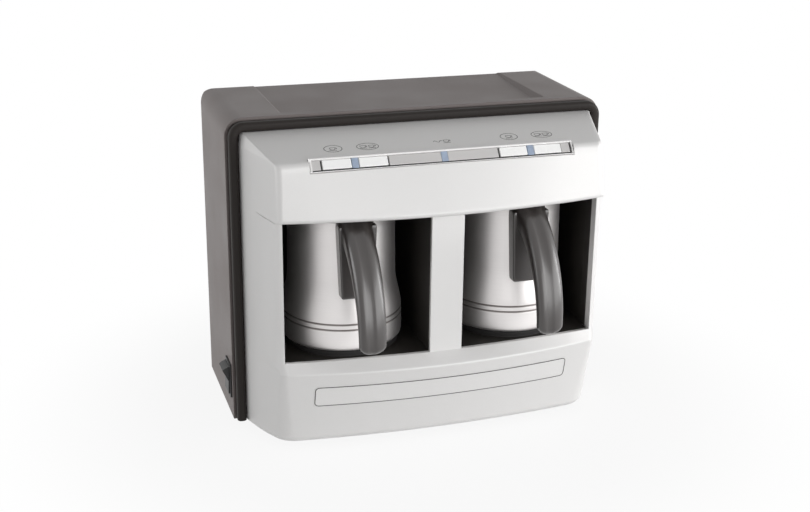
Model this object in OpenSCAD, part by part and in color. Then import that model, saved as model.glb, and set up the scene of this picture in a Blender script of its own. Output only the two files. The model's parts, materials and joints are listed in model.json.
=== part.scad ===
// Countertop electric Turkish coffee maker with two removable pots.
// Built in a working frame: X to the right, Y to the back with 0 at the bead frame,
// Z up with 0 at the table. Every node is then moved so that the origin is at the
// bottom centre of the whole object's box.

/* [Casing] */
// Outer width of the rear casing
casing_w = 315; // [306:1:330]
// Height of the casing from its lower edge to its top
casing_h = 255; // [248:1:268]
// Depth of the casing behind the shadow groove
casing_d = 119; // [116:1:140]
// Gap between the casing's lower edge and the table
casing_lift = 5; // [4:0.5:8]
// Wall of the casing
wall = 2.6; // [2:0.1:3]
// Radius of the casing's upper side corners
corner_r = 14; // [13:1:20]
// Radius of the casing's rear edges
back_r = 10; // [6:1:16]
// Width of the cup tray's recess in the top
tray_w = 224; // [160:1:250]
// Depth of the cup tray's recess at its front
tray_front = 4.2; // [2:0.1:6]
// Depth of the cup tray's recess at its rear
tray_back = 1.4; // [0.8:0.1:2]
// Width of the lip in front of the cup tray
tray_lip = 8; // [5:0.5:14]
// Length of a rear ventilation slot
vent_l = 46; // [30:1:60]
// Number of slots in each ventilation group
vent_count = 8; // [4:1:9]
// Distance from one ventilation slot to the next
vent_pitch = 6; // [5:0.5:7]
// Drop from the casing's top to the highest ventilation slot
vent_drop = 48; // [40:1:60]

/* [Bead frame] */
// Width of the bead seen from the front
bead_w = 7.5; // [6:0.1:9]
// Depth of the bead
bead_d = 7; // [5:0.1:9]
// Width of the shadow groove between the bead and the casing
groove_w = 3; // [2:0.1:4]
// Step from the casing's side in to the bead's side
bead_step = 1.8; // [1:0.1:2.5]
// Wall of the neck that joins the bead frame to the casing
neck_t = 2.5; // [2:0.1:3]
// Length of the neck inside the casing
neck_d = 3.6; // [2:0.1:4]

/* [Front panel] */
// Wall of the front panel
panel_t = 2.8; // [2.2:0.1:3.2]
// Width of each niche
niche_w = 115; // [113:0.5:116]
// Height of each niche
niche_h = 114.5; // [113:0.5:118]
// Width of the centre pillar
pillar_w = 26.4; // [24:0.2:28]
// Height of the niche floor above the panel's lower edge
floor_h = 73.5; // [70:0.5:78]
// Forward reach of the pillars at the middle
pillar_reach = 72.2; // [70:0.2:76]
// How far the pillars fall back at the niche's outer edge
pillar_sag = 8.8; // [6:0.2:10]
// Forward reach of the visor's lower edge at the middle
visor_reach = 84.7; // [82:0.2:88]
// How far the visor's lower edge falls back at its ends
visor_sag = 15.4; // [12:0.2:17]
// Forward reach of the brow, where visor and top band meet
brow_reach = 61.5; // [59.5:0.2:63]
// Height from the brow up to the panel's top edge
brow_drop = 12; // [10:0.2:14]
// Forward reach of the base's upper crease at the middle
crease_reach = 82.6; // [80:0.2:86]
// How far the crease falls back at its ends
crease_sag = 15.2; // [12:0.2:17]
// Drop from the niche floor to the crease
crease_drop = 8.3; // [6:0.1:10]
// Forward reach of the base's lower edge at the middle
chin_reach = 62.3; // [60:0.2:66]
// How far the lower edge falls back at its ends
chin_sag = 8.3; // [6:0.2:10]

/* [Badge plate] */
// Length of the badge plate
badge_l = 211; // [180:1:216]
// Height of the badge plate
badge_h = 17; // [14:0.5:20]
// Thickness of the badge plate
badge_t = 1.2; // [1:0.1:1.5]

/* [Control strip] */
// Length of the control strip
strip_l = 212.4; // [211:0.1:216]
// Height of the control strip
strip_h = 12; // [11.4:0.1:12.4]
// Lean of the strip back from upright, in degrees
strip_lean = 38; // [36:0.5:40]
// Depth of the strip's frame
strip_d = 8; // [7.6:0.1:9]
// Border of the strip's frame
strip_border = 1.9; // [1.6:0.1:2.2]
// Thickness of the webs between the strip's windows
web_t = 0.8; // [0.6:0.1:1.2]
// Length of a cup button
button_l = 22.5; // [21:0.1:23]
// Inward travel of a cup button
button_travel = 0.9; // [0.5:0.1:1.2]
// Width of a blue light window
light_w = 5.2; // [4:0.1:6]
// Radius of a button's stem
stem_r = 1.6; // [1.3:0.1:1.8]

/* [Mains switch] */
// Length of the switch bezel along the casing's depth
switch_w = 22; // [21:0.5:24]
// Height of the switch bezel
switch_h = 30; // [29:0.5:33]
// Height of the switch's middle above the table
switch_z = 37; // [34:0.5:44]
// Swing radius of the rocker paddle
rocker_r = 12.3; // [11.5:0.1:12.6]
// Tilt of the paddle from level, in degrees
rocker_tilt = 12; // [8:0.5:13]
// Radius of the rocker's pin
rocker_pin_r = 1.4; // [1.2:0.1:1.6]

/* [Pots] */
// Largest diameter of a pot
pot_d = 97; // [94:0.5:99]
// Height of a pot
pot_h = 104.5; // [100:0.5:105.5]
// Diameter of the pot's neck
neck_pot_d = 85.4; // [83:0.2:87]
// Wall of a pot
pot_t = 1.2; // [0.8:0.1:1.6]
// Base thickness of a pot
pot_base_t = 3; // [2:0.1:4]
// Width of a handle
handle_w = 21; // [19:0.5:23]
// Radius of the handle's arc
handle_arc_r = 86.5; // [84:0.5:88]
// Thickness of the handle near its tip
handle_t = 11; // [10:0.5:13]
// Thickness of the handle at its root
handle_root_t = 22; // [18:0.5:24]
// Width of the handle's mount block at its top
block_w = 29; // [27:0.5:31]
// How far the mount block stands out from the pot's neck
block_out = 8.5; // [8:0.5:10]

/* [Heating] */
// Thickness of a hot plate's rim
plate_t = 3.8; // [3:0.1:4.4]
// Radius of the heater element's tube
coil_tube_r = 3.2; // [2.8:0.1:3.4]
// Radius of the heater element's ring
coil_r = 28; // [26:0.5:30]
// Depth of the heat tray below the niche floor
tray_depth = 17; // [16:0.5:20]

/* [Hidden] */

$fn = 64;
// Clearance between pieces that are fitted together
fit_gap = 0.3;
// Sliding clearance round buttons and the rocker
slide_gap = 0.25;
// Small step by which cuts run past a surface
eps = 0.5;

// Heights
casing_z0 = casing_lift;
casing_z1 = casing_z0 + casing_h;
bead_z1 = casing_z1 - bead_step;
bead_z0 = casing_z0 + bead_step;
panel_z0 = casing_z0 + 2;
panel_z1 = bead_z1 - bead_w - fit_gap;
floor_z = panel_z0 + floor_h;
crease_z = floor_z - crease_drop;
visor_z = floor_z + niche_h;
brow_z = panel_z1 - brow_drop;
plate_z0 = casing_z0 + wall;
base_t = 2.5;
base_z1 = plate_z0 + base_t;

// Depths
bead_y1 = 2;
bead_y0 = bead_y1 - bead_d;
casing_y0 = bead_y1 + groove_w;
casing_y1 = casing_y0 + casing_d;
panel_y1 = bead_y1 - 1;
side_y = bead_y0 + 3;
neck_y1 = casing_y0 + neck_d;

// Widths
bead_x = casing_w / 2 - bead_step;
panel_x = bead_x - bead_w - fit_gap;
niche_x0 = pillar_w / 2;
niche_x1 = niche_x0 + niche_w;
pot_x = (niche_x0 + niche_x1) / 2;
inner_x = casing_w / 2 - wall;

// Niche liner
liner_t = 2;
reveal = 0.4;
liner_x0 = niche_x0 - reveal;
liner_x1 = niche_x1 + reveal;
liner_z0 = floor_z - reveal;
liner_z1 = visor_z + reveal;
pot_r = pot_d / 2;
pot_setback = 7.1;
pot_y = -pillar_reach + pot_setback + pot_r;
liner_y1 = pot_y + pot_r + 6;
return_y = -46.7;

// Pots and hot plates
seal_h = 1;
plate_r = pot_r - 2.5;
plate_body_r = plate_r - 3.4;
plate_rim_z = liner_z0 + seal_h;
plate_top_z = plate_rim_z + plate_t;
plate_under_z = plate_top_z - 9;
pot_gap = 0.1;
pot_z = plate_top_z + pot_gap;
pot_neck_r = neck_pot_d / 2;
tray_r = plate_body_r + 2;
tray_z0 = liner_z0 - liner_t - tray_depth;
tray_t = 0.8;

// Control strip: middle of its front face
strip_y = -(brow_reach - 0.9);
strip_z = brow_z - 1.6;
strip_rear = 1.5;
channel_h = strip_h - 2 * strip_border;
group_x = pot_x;
group_l = 2 * button_l + light_w + 4 * slide_gap;
cap_l = strip_l / 2 - strip_border - web_t - group_x - group_l / 2;
center_l = 2 * (group_x - group_l / 2 - web_t);
button_d = 3.2;
stem_l = 6.9;
board_gap = 4.2;
board_t = 1.6;
board_front = -strip_d - board_gap;
plunger_h = 1.3;
tact_h = 3;
cap_sink = 0.8;

// Mains switch
switch_y = neck_y1 + 0.6 + switch_w / 2;
switch_cut_w = switch_w - 2.6;
switch_cut_h = switch_h - 2.6;
bezel_t = 1.5;
rocker_axis_x = -casing_w / 2 + 1;
rocker_tip_x = 6;
rocker_tip_z = sqrt(pow(rocker_r, 2) - pow(rocker_tip_x, 2));
rocker_reach = rocker_tip_x * cos(rocker_tilt) + rocker_tip_z * sin(rocker_tilt);
rocker_w = switch_cut_w - 3.4;
rocker_back = 2.4;
rocker_room = rocker_axis_x + casing_w / 2 + rocker_back + rocker_r * sin(rocker_tilt) + 0.5;

// Gland
gland_x = casing_w / 2 - 57.5;
gland_z = 30;
gland_r = 3.7;
gland_flange_t = 2.5;

// Handles
handle_cy = pot_y - 8.4;
handle_cz = pot_z + 22;
handle_root_a = 68;
handle_tip_a = -3;
block_z0 = pot_z + 45;
block_z1 = pot_z + pot_h - 0.5;
block_y0 = pot_y - pot_neck_r - block_out;

handle_front = -handle_cy + handle_arc_r + handle_t / 2;

// The whole object's box, for the origin
mid_x = (casing_w / 2 - (rocker_reach - rocker_axis_x)) / 2;
mid_y = (casing_y1 + gland_flange_t - handle_front) / 2;

// Moves a piece from the working frame to the part's own frame
module place() {
    translate([-mid_x, -mid_y, 0]) children();
}

// Makes a piece and its mirror image across the middle plane
module both_sides() {
    children();
    mirror([1, 0, 0]) children();
}

// Rectangle with round corners, exact arcs
module round_rect(w, h, r) {
    square([w - 2 * r, h], center = true);
    square([w, h - 2 * r], center = true);
    for (x = [-1, 1], y = [-1, 1])
        translate([x * (w / 2 - r), y * (h / 2 - r)]) circle(r);
}

// Block between two heights with an outline in the XY plane
module slab(z0, z1) {
    translate([0, 0, z0]) linear_extrude(z1 - z0) children();
}

// Outline drawn in X and Z, extruded from y0 back to y1
module along_y(y0, y1) {
    translate([0, y1, 0]) rotate([90, 0, 0]) linear_extrude(y1 - y0) children();
}

// Outline drawn in Y and Z, extruded from x0 to x1
module along_x(x0, x1) {
    translate([x0, 0, 0]) rotate([90, 0, 90]) linear_extrude(x1 - x0) children();
}

// ---------------------------------------------------------------- front panel

columns = 18;
side_steps = 4;

// Points of one level: side line, curved front, side line
function level(z, reach, sag, x_end, inset, x_side, y_side, y_back) =
    let (xs = x_side - inset, xe = x_end - inset, ye = inset - reach + sag,
         band = [for (i = [0:side_steps - 1])
             [xs + (xe - xs) * i / side_steps, y_side + (ye - y_side) * i / side_steps, z]])
    concat(
        [[-xs, y_back, z]],
        [for (p = band) [-p[0], p[1], z]],
        [for (i = [0:columns])
            let (t = 2 * i / columns - 1)
            [t * xe, inset - reach + sag * t * t, z]],
        [for (i = [side_steps - 1:-1:0]) band[i]],
        [[xs, y_back, z]]
    );

// Levels spaced evenly from one up to just before the next
function between(low, high, count) =
    [for (k = [0:count - 1]) low + (high - low) * k / count];

// Solid through a stack of levels, each with the same number of points
module loft(levels) {
    n = len(levels[0]);
    m = len(levels);
    points = [for (one = levels) each one];
    bottom = [[for (i = [0:n - 1]) i]];
    top = [[for (i = [n - 1:-1:0]) (m - 1) * n + i]];
    sides = [for (j = [0:m - 2], i = [0:n - 1])
        let (a = j * n + i, b = j * n + (i + 1) % n)
        each (2 * i < n - 1 ? [[a, a + n, b + n], [a, b + n, b]]
                            : [[a, a + n, b], [b, a + n, b + n]])];
    polyhedron(points, concat(bottom, sides, top));
}

chin_x = niche_x1 + 0.9;
crease_x = niche_x1 + 3.1;
visor_x = niche_x1 + 4;
brow_x = niche_x1 + 2.8;
chin_round = 3;

// Base of the panel; inset moves every wall inwards
module base_form(inset, z0, z1) {
    foot = level(z0, chin_reach - chin_round, chin_sag, chin_x - 1,
                 inset, panel_x, side_y, panel_y1);
    chin = level(panel_z0 + 4, chin_reach + 1.2, chin_sag, chin_x,
                 inset, panel_x, side_y, panel_y1);
    crease = level(crease_z, crease_reach, crease_sag, crease_x,
                   inset, panel_x, side_y, panel_y1);
    ledge = level(z1, pillar_reach, pillar_sag, niche_x1, inset, panel_x, side_y, panel_y1);
    loft(concat([foot], between(chin, crease, 6), [crease, ledge]));
}

// Outline of the pillars in plan
module pillar_plan(inset) {
    points = level(0, pillar_reach, pillar_sag, niche_x1, inset, panel_x, side_y, panel_y1);
    polygon([for (p = points) [p[0], p[1]]]);
}

// Visor of the panel; inset moves every wall inwards
module visor_form(inset, y_back) {
    lower = level(visor_z + inset * 0.8, visor_reach, visor_sag, visor_x,
                  inset, panel_x, side_y, y_back);
    brow = level(brow_z - inset * 0.7, brow_reach, 0, brow_x, inset, panel_x, side_y, y_back);
    upper = level(panel_z1 - inset, -side_y + 1 + inset, 0, panel_x - 3,
                  inset, panel_x, side_y, y_back);
    loft(concat(between(lower, brow, 5), between(brow, upper, 2), [upper]));
}

// Plan of the niche liner's room; grow widens it on every side
module liner_plan(grow) {
    front = panel_t + fit_gap - grow;
    x0 = liner_x0 - liner_t - grow;
    x1 = liner_x1 + liner_t + grow;
    edge = niche_x1 - 0.6;
    steps = 10;
    polygon(concat(
        [[x0, liner_y1 + liner_t + grow]],
        [for (i = [0:steps])
            let (x = x0 + (edge - x0) * i / steps)
            [x, -pillar_reach + front + pillar_sag * pow(x / niche_x1, 2)]],
        [[edge, return_y + fit_gap - grow], [x1, return_y + fit_gap - grow]],
        [[x1, liner_y1 + liner_t + grow]]
    ));
}

// Room that a niche liner takes up, with a clearance round it
module liner_room(grow) {
    slab(liner_z0 - liner_t - grow, liner_z1 + liner_t + grow) liner_plan(grow);
}

// Moves a piece drawn on the control strip: X along it, Y up its face, Z out of it
module on_strip() {
    translate([0, strip_y, strip_z]) rotate([90 - strip_lean, 0, 0]) children();
}

// Hollow behind the panel between the niches and the side bands
module pillar_hollow() {
    band_y = return_y;
    band_x = niche_x1 + liner_t + reveal + 0.4;
    front_y = -pillar_reach + panel_t;
    middle = niche_x0 + eps;
    slab(crease_z - 14, visor_z + 14)
        polygon([
            [-panel_x + panel_t, panel_y1 + eps], [-panel_x + panel_t, side_y],
            [-band_x, band_y], [-middle, band_y], [-middle, front_y], [middle, front_y],
            [middle, band_y], [band_x, band_y], [panel_x - panel_t, side_y],
            [panel_x - panel_t, panel_y1 + eps]
        ]);
}

panel_boss_x = panel_x - 12;
panel_boss_r = 4.5;
panel_boss_low = panel_z0 + 22;
panel_boss_high = panel_z1 - 14;
panel_tab_t = 2.5;

module front_panel() color([0.83, 0.84, 0.85]) place() {
    difference() {
        intersection() {
            union() {
                base_form(0, panel_z0, floor_z);
                slab(floor_z - 2, visor_z + 2) pillar_plan(0);
                visor_form(0, panel_y1);
            }
            bead_opening(0, -visor_reach - 5, bead_y1 + 5);
        }
        difference() {
            base_form(panel_t, panel_z0 - eps, floor_z - panel_t + 0.6);
            slab(crease_z - 14, floor_z + eps)
                translate([-pillar_w / 2, -crease_reach])
                    square([pillar_w, crease_reach - pillar_reach + panel_t]);
        }
        pillar_hollow();
        visor_form(panel_t, panel_y1 + eps);
        both_sides() liner_room(fit_gap);
        both_sides() translate([niche_x0, -visor_reach - eps, floor_z])
            cube([niche_w, visor_reach + eps + panel_y1 + eps, niche_h]);
        on_strip() translate([-strip_l / 2 - fit_gap, -strip_h / 2 - fit_gap, -strip_d])
            cube([strip_l + 2 * fit_gap, strip_h + 2 * fit_gap, strip_d + 6]);
        intersection() {
            badge_outline(fit_gap / 2);
            difference() {
                base_form(-1, panel_z0 - 1, floor_z + 1);
                base_form(badge_t - 0.2, panel_z0 - 2, floor_z + 2);
            }
        }
    }
    // Bosses that take the screws through the bead frame's tabs
    both_sides() for (z = [panel_boss_low, panel_boss_high])
        difference() {
            union() {
                translate([panel_boss_x, panel_y1 + 0.7, z]) rotate([90, 0, 0])
                    cylinder(r = panel_boss_r, h = 14);
                translate([panel_boss_x, panel_y1 - 11, z - 1.5])
                    cube([panel_x - panel_boss_x - 3.6, 11, 3]);
            }
            translate([panel_boss_x, panel_y1 + 1, z]) rotate([90, 0, 0])
                cylinder(r = 1.7, h = 12);
        }
}

// ---------------------------------------------------------------- badge plate

badge_z = panel_z0 + 44.2;

// Rounded long outline of the badge, cut through the base's front
module badge_outline(grow) {
    along_y(-crease_reach - 5, -chin_reach + chin_sag + 2)
        translate([0, badge_z])
            round_rect(badge_l + 2 * grow, badge_h + 2 * grow, 3);
}

module badge_plate() color([0.9, 0.9, 0.91]) place()
    intersection() {
        badge_outline(0);
        difference() {
            base_form(-0.2, panel_z0 - 1, floor_z + 1);
            base_form(badge_t - 0.2 - 0.05, panel_z0 - 2, floor_z + 2);
        }
    }

// ---------------------------------------------------------------- casing

// Outer form of the casing; inset moves the top, sides and back inwards
module casing_form(inset, y0) {
    w = casing_w - 2 * inset;
    top = casing_z1 - inset;
    low = casing_z0 - 30;
    rear = casing_y1 - inset;
    intersection() {
        along_y(y0, rear) translate([0, (top + low) / 2])
            round_rect(w, top - low, corner_r - inset);
        slab(low, top) translate([0, (y0 - 40 + rear) / 2])
            round_rect(w, rear - y0 + 40, back_r - inset);
        along_x(-w / 2, w / 2) translate([(y0 - 40 + rear) / 2, (top + low) / 2])
            round_rect(rear - y0 + 40, top - low, back_r - inset);
    }
}

boss_r = 4;
boss_x = inner_x - boss_r + 1;
boss_front_y = casing_y0 + 40;
boss_rear_y = casing_y1 - 22;

// Shallow cup tray cut into the casing's top
module cup_tray_cut() {
    y0 = casing_y0 + tray_lip;
    slope = 5;
    intersection() {
        along_x(-tray_w, tray_w)
            polygon([
                [y0, casing_z1 + eps], [y0, casing_z1], [y0 + slope, casing_z1 - tray_front],
                [casing_y1 + eps, casing_z1 - tray_back], [casing_y1 + eps, casing_z1 + eps]
            ]);
        along_y(y0 - 1, casing_y1 + 1)
            polygon([
                [-tray_w / 2 - eps, casing_z1 + eps], [-tray_w / 2 + slope, casing_z1 - slope],
                [tray_w / 2 - slope, casing_z1 - slope], [tray_w / 2 + eps, casing_z1 + eps]
            ]);
    }
}

module rear_casing() color([0.36, 0.34, 0.34]) place() {
    difference() {
        casing_form(0, casing_y0);
        difference() {
            casing_form(wall, casing_y0 - 1);
            // The top wall keeps its thickness under the tray
            translate([-tray_w / 2, casing_y0 + tray_lip - wall, casing_z1 - wall - tray_front])
                cube([tray_w, casing_d, wall + tray_front]);
        }
        translate([-casing_w, casing_y0 - 1, casing_z0 - 40])
            cube([2 * casing_w, casing_d + 2, 40]);
        cup_tray_cut();
        // Ventilation slots
        for (side = [-1, 1], i = [0:vent_count - 1])
            translate([side * pot_x, casing_y1, casing_z1 - vent_drop - vent_pitch * i])
                rotate([90, 0, 0]) linear_extrude(2 * wall, center = true)
                    round_rect(vent_l, 2.6, 1.29);
        // Cord gland's hole
        translate([gland_x, casing_y1 + 1, gland_z]) rotate([90, 0, 0])
            cylinder(r = gland_r + 3, h = wall + 2);
        // Cut-out for the mains switch
        translate([-casing_w / 2 - 1, switch_y - switch_cut_w / 2 - slide_gap,
                   switch_z - switch_cut_h / 2 - slide_gap])
            cube([wall + 2, switch_cut_w + 2 * slide_gap, switch_cut_h + 2 * slide_gap]);
    }
    // Screw bosses above the base plate
    both_sides() for (y = [boss_front_y, boss_rear_y])
        translate([boss_x, y, base_z1]) difference() {
            cylinder(r = boss_r, h = 16);
            translate([0, 0, -1]) cylinder(r = 1.4, h = 13);
        }
}

// ---------------------------------------------------------------- bead frame

bead_outer_r = corner_r - bead_step;
bead_inner_r = bead_outer_r - bead_w;
bead_mid_y = bead_y0 + bead_d / 2;

// Section of the bead: wide along X, deep along Y, rounder at its front
module bead_profile() {
    front_r = min(bead_w, bead_d) / 2 - 0.3;
    rear_r = 0.8;
    w = bead_w / 2;
    d = bead_d / 2;
    translate([-w, front_r - d]) square([bead_w, bead_d - front_r - rear_r]);
    translate([front_r - w, -d]) square([bead_w - 2 * front_r, bead_d]);
    translate([rear_r - w, 0]) square([bead_w - 2 * rear_r, d]);
    for (s = [-1, 1]) {
        translate([s * (w - front_r), front_r - d]) circle(front_r);
        translate([s * (w - rear_r), d - rear_r]) circle(rear_r);
    }
}

// Arch of the bead, open at the bottom
module bead_arch() {
    mid_r = bead_outer_r - bead_w / 2;
    corner_x = bead_x - bead_outer_r;
    corner_z = bead_z1 - bead_outer_r;
    both_sides() {
        translate([bead_x - bead_w / 2, bead_mid_y, bead_z0])
            linear_extrude(corner_z - bead_z0) bead_profile();
        translate([corner_x, bead_mid_y, corner_z]) rotate([-90, 0, 0]) rotate([0, 0, -90])
            rotate_extrude(angle = 90, $fn = 96) translate([mid_r, 0]) bead_profile();
    }
    translate([-corner_x, bead_mid_y, bead_z1 - bead_w / 2]) rotate([90, 0, 90])
        linear_extrude(2 * corner_x) rotate([0, 0, -90]) bead_profile();
}

// Opening of the bead that holds the front panel; grow widens it
module bead_opening(grow, y0, y1) {
    top = panel_z1 + grow;
    along_y(y0, y1) translate([0, (top + bead_z0) / 2 - 25])
        round_rect(2 * (panel_x + grow), top - bead_z0 + 50, bead_inner_r - fit_gap + grow);
}

module bead_frame() color([0.22, 0.21, 0.2]) place() {
    bead_arch();
    // Neck that slides into the casing
    neck_w = 2 * (inner_x - fit_gap);
    neck_top = casing_z1 - wall - fit_gap;
    neck_low = base_z1 + fit_gap;
    neck_h = neck_top - neck_low;
    neck_r = corner_r - wall - fit_gap;
    difference() {
        along_y(bead_y1 - 0.8, neck_y1) translate([0, (neck_top + neck_low) / 2])
            round_rect(neck_w, neck_h, neck_r);
        along_y(bead_y1 - 2, neck_y1 + 1) translate([0, (neck_top + neck_low) / 2])
            round_rect(neck_w - 2 * neck_t, neck_h - 2 * neck_t, neck_r - neck_t);
    }
    // Tabs behind the panel's bosses
    both_sides() for (z = [panel_boss_low, panel_boss_high])
        difference() {
            translate([panel_boss_x - 6, panel_y1 + 1, z - 6])
                cube([inner_x - fit_gap - panel_boss_x + 6 - 1, panel_tab_t, 12]);
            translate([panel_boss_x, panel_y1 + 5, z]) rotate([90, 0, 0])
                cylinder(r = 1.9, h = 6);
        }
}

module panel_screws() color([0.7, 0.7, 0.72]) place()
    both_sides() for (z = [panel_boss_low, panel_boss_high])
        translate([panel_boss_x, panel_y1 + 1 + panel_tab_t, z]) {
            rotate([-90, 0, 0]) cylinder(r = 3.4, h = 2);
            rotate([90, 0, 0]) cylinder(r = 1.55, h = 12);
        }

// ---------------------------------------------------------------- base plate

liner_post_x = niche_w / 2 - 12;
liner_post_y = liner_y1 + liner_t + 4.5;
liner_post_r = 4;
power_x = 82;
board_back_gap = 7;
power_y0 = liner_post_y + 6;
power_y1 = casing_y1 - wall - board_back_gap;
power_z = base_z1 + 12;
foot_r = 8;
foot_x = casing_w / 2 - 39.5;
foot_back = 18;
foot_front_y = -20;
foot_stem_r = 2.9;

// Feet places in plan
feet = [for (x = [-foot_x, foot_x], y = [foot_front_y, casing_y1 - foot_back]) [x, y]];

module base_plate() color([0.16, 0.16, 0.16]) place() {
    rear_x = inner_x - fit_gap;
    rear_y = casing_y1 - wall - fit_gap;
    waist_x = panel_x - panel_t - fit_gap;
    nose = level(0, chin_reach - chin_round, chin_sag, chin_x - 1, panel_t + 0.6,
                 waist_x + panel_t + 0.6, side_y, neck_y1 + 1);
    difference() {
        slab(plate_z0, base_z1)
            polygon(concat(
                [for (p = nose) [p[0], p[1]]],
                [[rear_x, neck_y1 + 1], [rear_x, rear_y - back_r], [rear_x - back_r, rear_y],
                 [-rear_x + back_r, rear_y], [-rear_x, rear_y - back_r], [-rear_x, neck_y1 + 1]]
            ));
        for (p = feet) translate([p[0], p[1], 0]) cylinder(r = foot_stem_r + 0.1, h = 20);
        both_sides() for (y = [boss_front_y, boss_rear_y])
            translate([boss_x, y, 0]) cylinder(r = 1.9, h = 20);
        // Air slots under the hot plates
        both_sides() for (i = [-3:3])
            translate([pot_x + 9 * i, pot_y, plate_z0 - 1]) linear_extrude(base_t + 2)
                round_rect(3, 40, 1.49);
    }
    both_sides() for (s = [-1, 1])
        translate([pot_x + s * liner_post_x, liner_post_y, base_z1]) difference() {
            cylinder(r = liner_post_r, h = liner_z0 - liner_t - base_z1);
            translate([0, 0, liner_z0 - liner_t - base_z1 - 12]) cylinder(r = 1.4, h = 14);
        }
    // Posts of the power board
    for (x = [-1, 1], y = [power_y0 + 4, power_y1 - 4])
        translate([x * (power_x - 5), y, base_z1]) difference() {
            cylinder(r = 3.5, h = power_z - base_z1);
            translate([0, 0, 2]) cylinder(r = 1.3, h = 20);
        }
    // Cord clamp's posts
    for (x = [-10, 10])
        translate([gland_x + x, clamp_y, base_z1]) difference() {
            cylinder(r = 3.2, h = clamp_z - base_z1);
            translate([0, 0, clamp_z - base_z1 - 9]) cylinder(r = 1.3, h = 12);
        }
}

module rubber_feet() color([0.1, 0.1, 0.1]) place()
    for (p = feet) translate([p[0], p[1], 0]) {
        cylinder(r = foot_r, h = plate_z0);
        cylinder(r = foot_stem_r, h = base_z1);
        translate([0, 0, base_z1]) cylinder(r = foot_stem_r + 1.1, h = 1);
    }

module casing_screws() color([0.7, 0.7, 0.72]) place()
    both_sides() for (y = [boss_front_y, boss_rear_y])
        translate([boss_x, y, plate_z0 - 1.6]) {
            cylinder(r = 2.7, h = 1.6);
            cylinder(r = 1.3, h = 13);
        }

// ---------------------------------------------------------------- gland and clamp

clamp_y = casing_y1 - 20;
clamp_z = gland_z + gland_r + 1;

module cord_gland() color([0.1, 0.1, 0.1]) place()
    translate([gland_x, casing_y1 + gland_flange_t, gland_z]) rotate([90, 0, 0])
        difference() {
            union() {
                cylinder(r = 9, h = gland_flange_t);
                cylinder(r = gland_r + 2.8, h = gland_flange_t + wall + 4);
                translate([0, 0, gland_flange_t + wall + fit_gap])
                    cylinder(r = gland_r + 4, h = 2.5);
            }
            translate([0, 0, -1]) cylinder(r = gland_r, h = 30);
        }

module cord_clamp() color([0.85, 0.85, 0.83]) place()
    translate([gland_x, clamp_y, clamp_z]) difference() {
        translate([-14, -4, 0]) cube([28, 8, 3]);
        for (x = [-10, 10]) translate([x, 0, -1]) cylinder(r = 1.5, h = 6);
    }

module cord_clamp_screws() color([0.7, 0.7, 0.72]) place()
    for (x = [-10, 10]) translate([gland_x + x, clamp_y, clamp_z]) {
        translate([0, 0, 3]) cylinder(r = 2.6, h = 1.6);
        translate([0, 0, -7]) cylinder(r = 1.2, h = 10.2);
    }

module terminal_block() color([0.9, 0.9, 0.86]) place()
    difference() {
        translate([power_x - 28, power_y1 - 26, power_z + 1.6]) cube([18, 20, 13]);
        for (i = [0:2])
            translate([power_x - 29, power_y1 - 22 + 6 * i, power_z + 8]) rotate([0, 90, 0])
                cylinder(r = 1.8, h = 30);
    }

// ---------------------------------------------------------------- control strip

// Stem places of a button, measured from its middle
stem_places = [-7.5, 7.5];

// Middle of each of the four cup buttons along the strip
button_places = [
    for (g = [-1, 1], s = [-1, 1])
        g * group_x + s * (light_w / 2 + slide_gap + button_l / 2 + slide_gap * 0.5)
];

post_places = [-(group_x - group_l / 2 - 6), group_x - group_l / 2 - 6];

module strip_frame() color([0.8, 0.8, 0.82]) place() on_strip()
    difference() {
        union() {
            // Border with a sloping front edge
            translate([0, 0, -strip_d]) linear_extrude(strip_d - 1)
                square([strip_l, strip_h], center = true);
            hull() {
                translate([0, 0, -1.01]) linear_extrude(0.01)
                    square([strip_l, strip_h], center = true);
                translate([0, 0, -0.01]) linear_extrude(0.01)
                    square([strip_l - 2, strip_h - 1.8], center = true);
            }
            for (x = post_places)
                translate([x, 0, board_front]) cylinder(r = 2.8, h = board_gap + 1);
        }
        // Windows
        for (x = [-group_x, group_x])
            translate([x, 0, -strip_d + strip_rear]) linear_extrude(strip_d)
                square([group_l, channel_h], center = true);
        translate([0, 0, -strip_d + strip_rear]) linear_extrude(strip_d)
            square([center_l, channel_h], center = true);
        for (s = [-1, 1])
            translate([s * (strip_l / 2 - strip_border - cap_l / 2), 0, -strip_d + strip_rear])
                linear_extrude(strip_d) square([cap_l, channel_h], center = true);
        // Holes for stems and light guides
        for (x = button_places, s = concat([0], stem_places))
            translate([x + s, 0, -strip_d - 1]) cylinder(r = stem_r + slide_gap, h = 5);
        for (x = [-group_x, 0, group_x])
            translate([x, 0, -strip_d - 1]) cylinder(r = 1.9, h = 5);
        for (x = post_places)
            translate([x, 0, board_front - 1]) cylinder(r = 1, h = 6);
    }

module strip_end_caps() color([0.66, 0.67, 0.68]) place() on_strip()
    for (s = [-1, 1])
        translate([s * (strip_l / 2 - strip_border - cap_l / 2), 0, -strip_d + strip_rear + 0.05])
            linear_extrude(strip_d - strip_rear - cap_sink)
                square([cap_l - 0.2, channel_h - 0.2], center = true);

module strip_center_bar() color([0.7, 0.71, 0.72]) place() on_strip()
    difference() {
        translate([0, 0, -strip_d + strip_rear + 0.05])
            linear_extrude(strip_d - strip_rear - cap_sink)
                square([center_l - 0.2, channel_h - 0.2], center = true);
        translate([0, 0, -strip_d]) linear_extrude(strip_d + 1)
            square([light_w + 0.1, channel_h + 1], center = true);
    }

module light_windows() color([0.3, 0.6, 0.95]) place() on_strip()
    for (x = [-group_x, 0, group_x]) translate([x, 0, 0]) {
        translate([0, 0, -strip_d + strip_rear + 0.05])
            linear_extrude(strip_d - strip_rear - cap_sink)
                square([light_w - 0.2, channel_h - 0.2], center = true);
        translate([0, 0, -strip_d - 1]) cylinder(r = 1.8, h = 4);
    }

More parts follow.
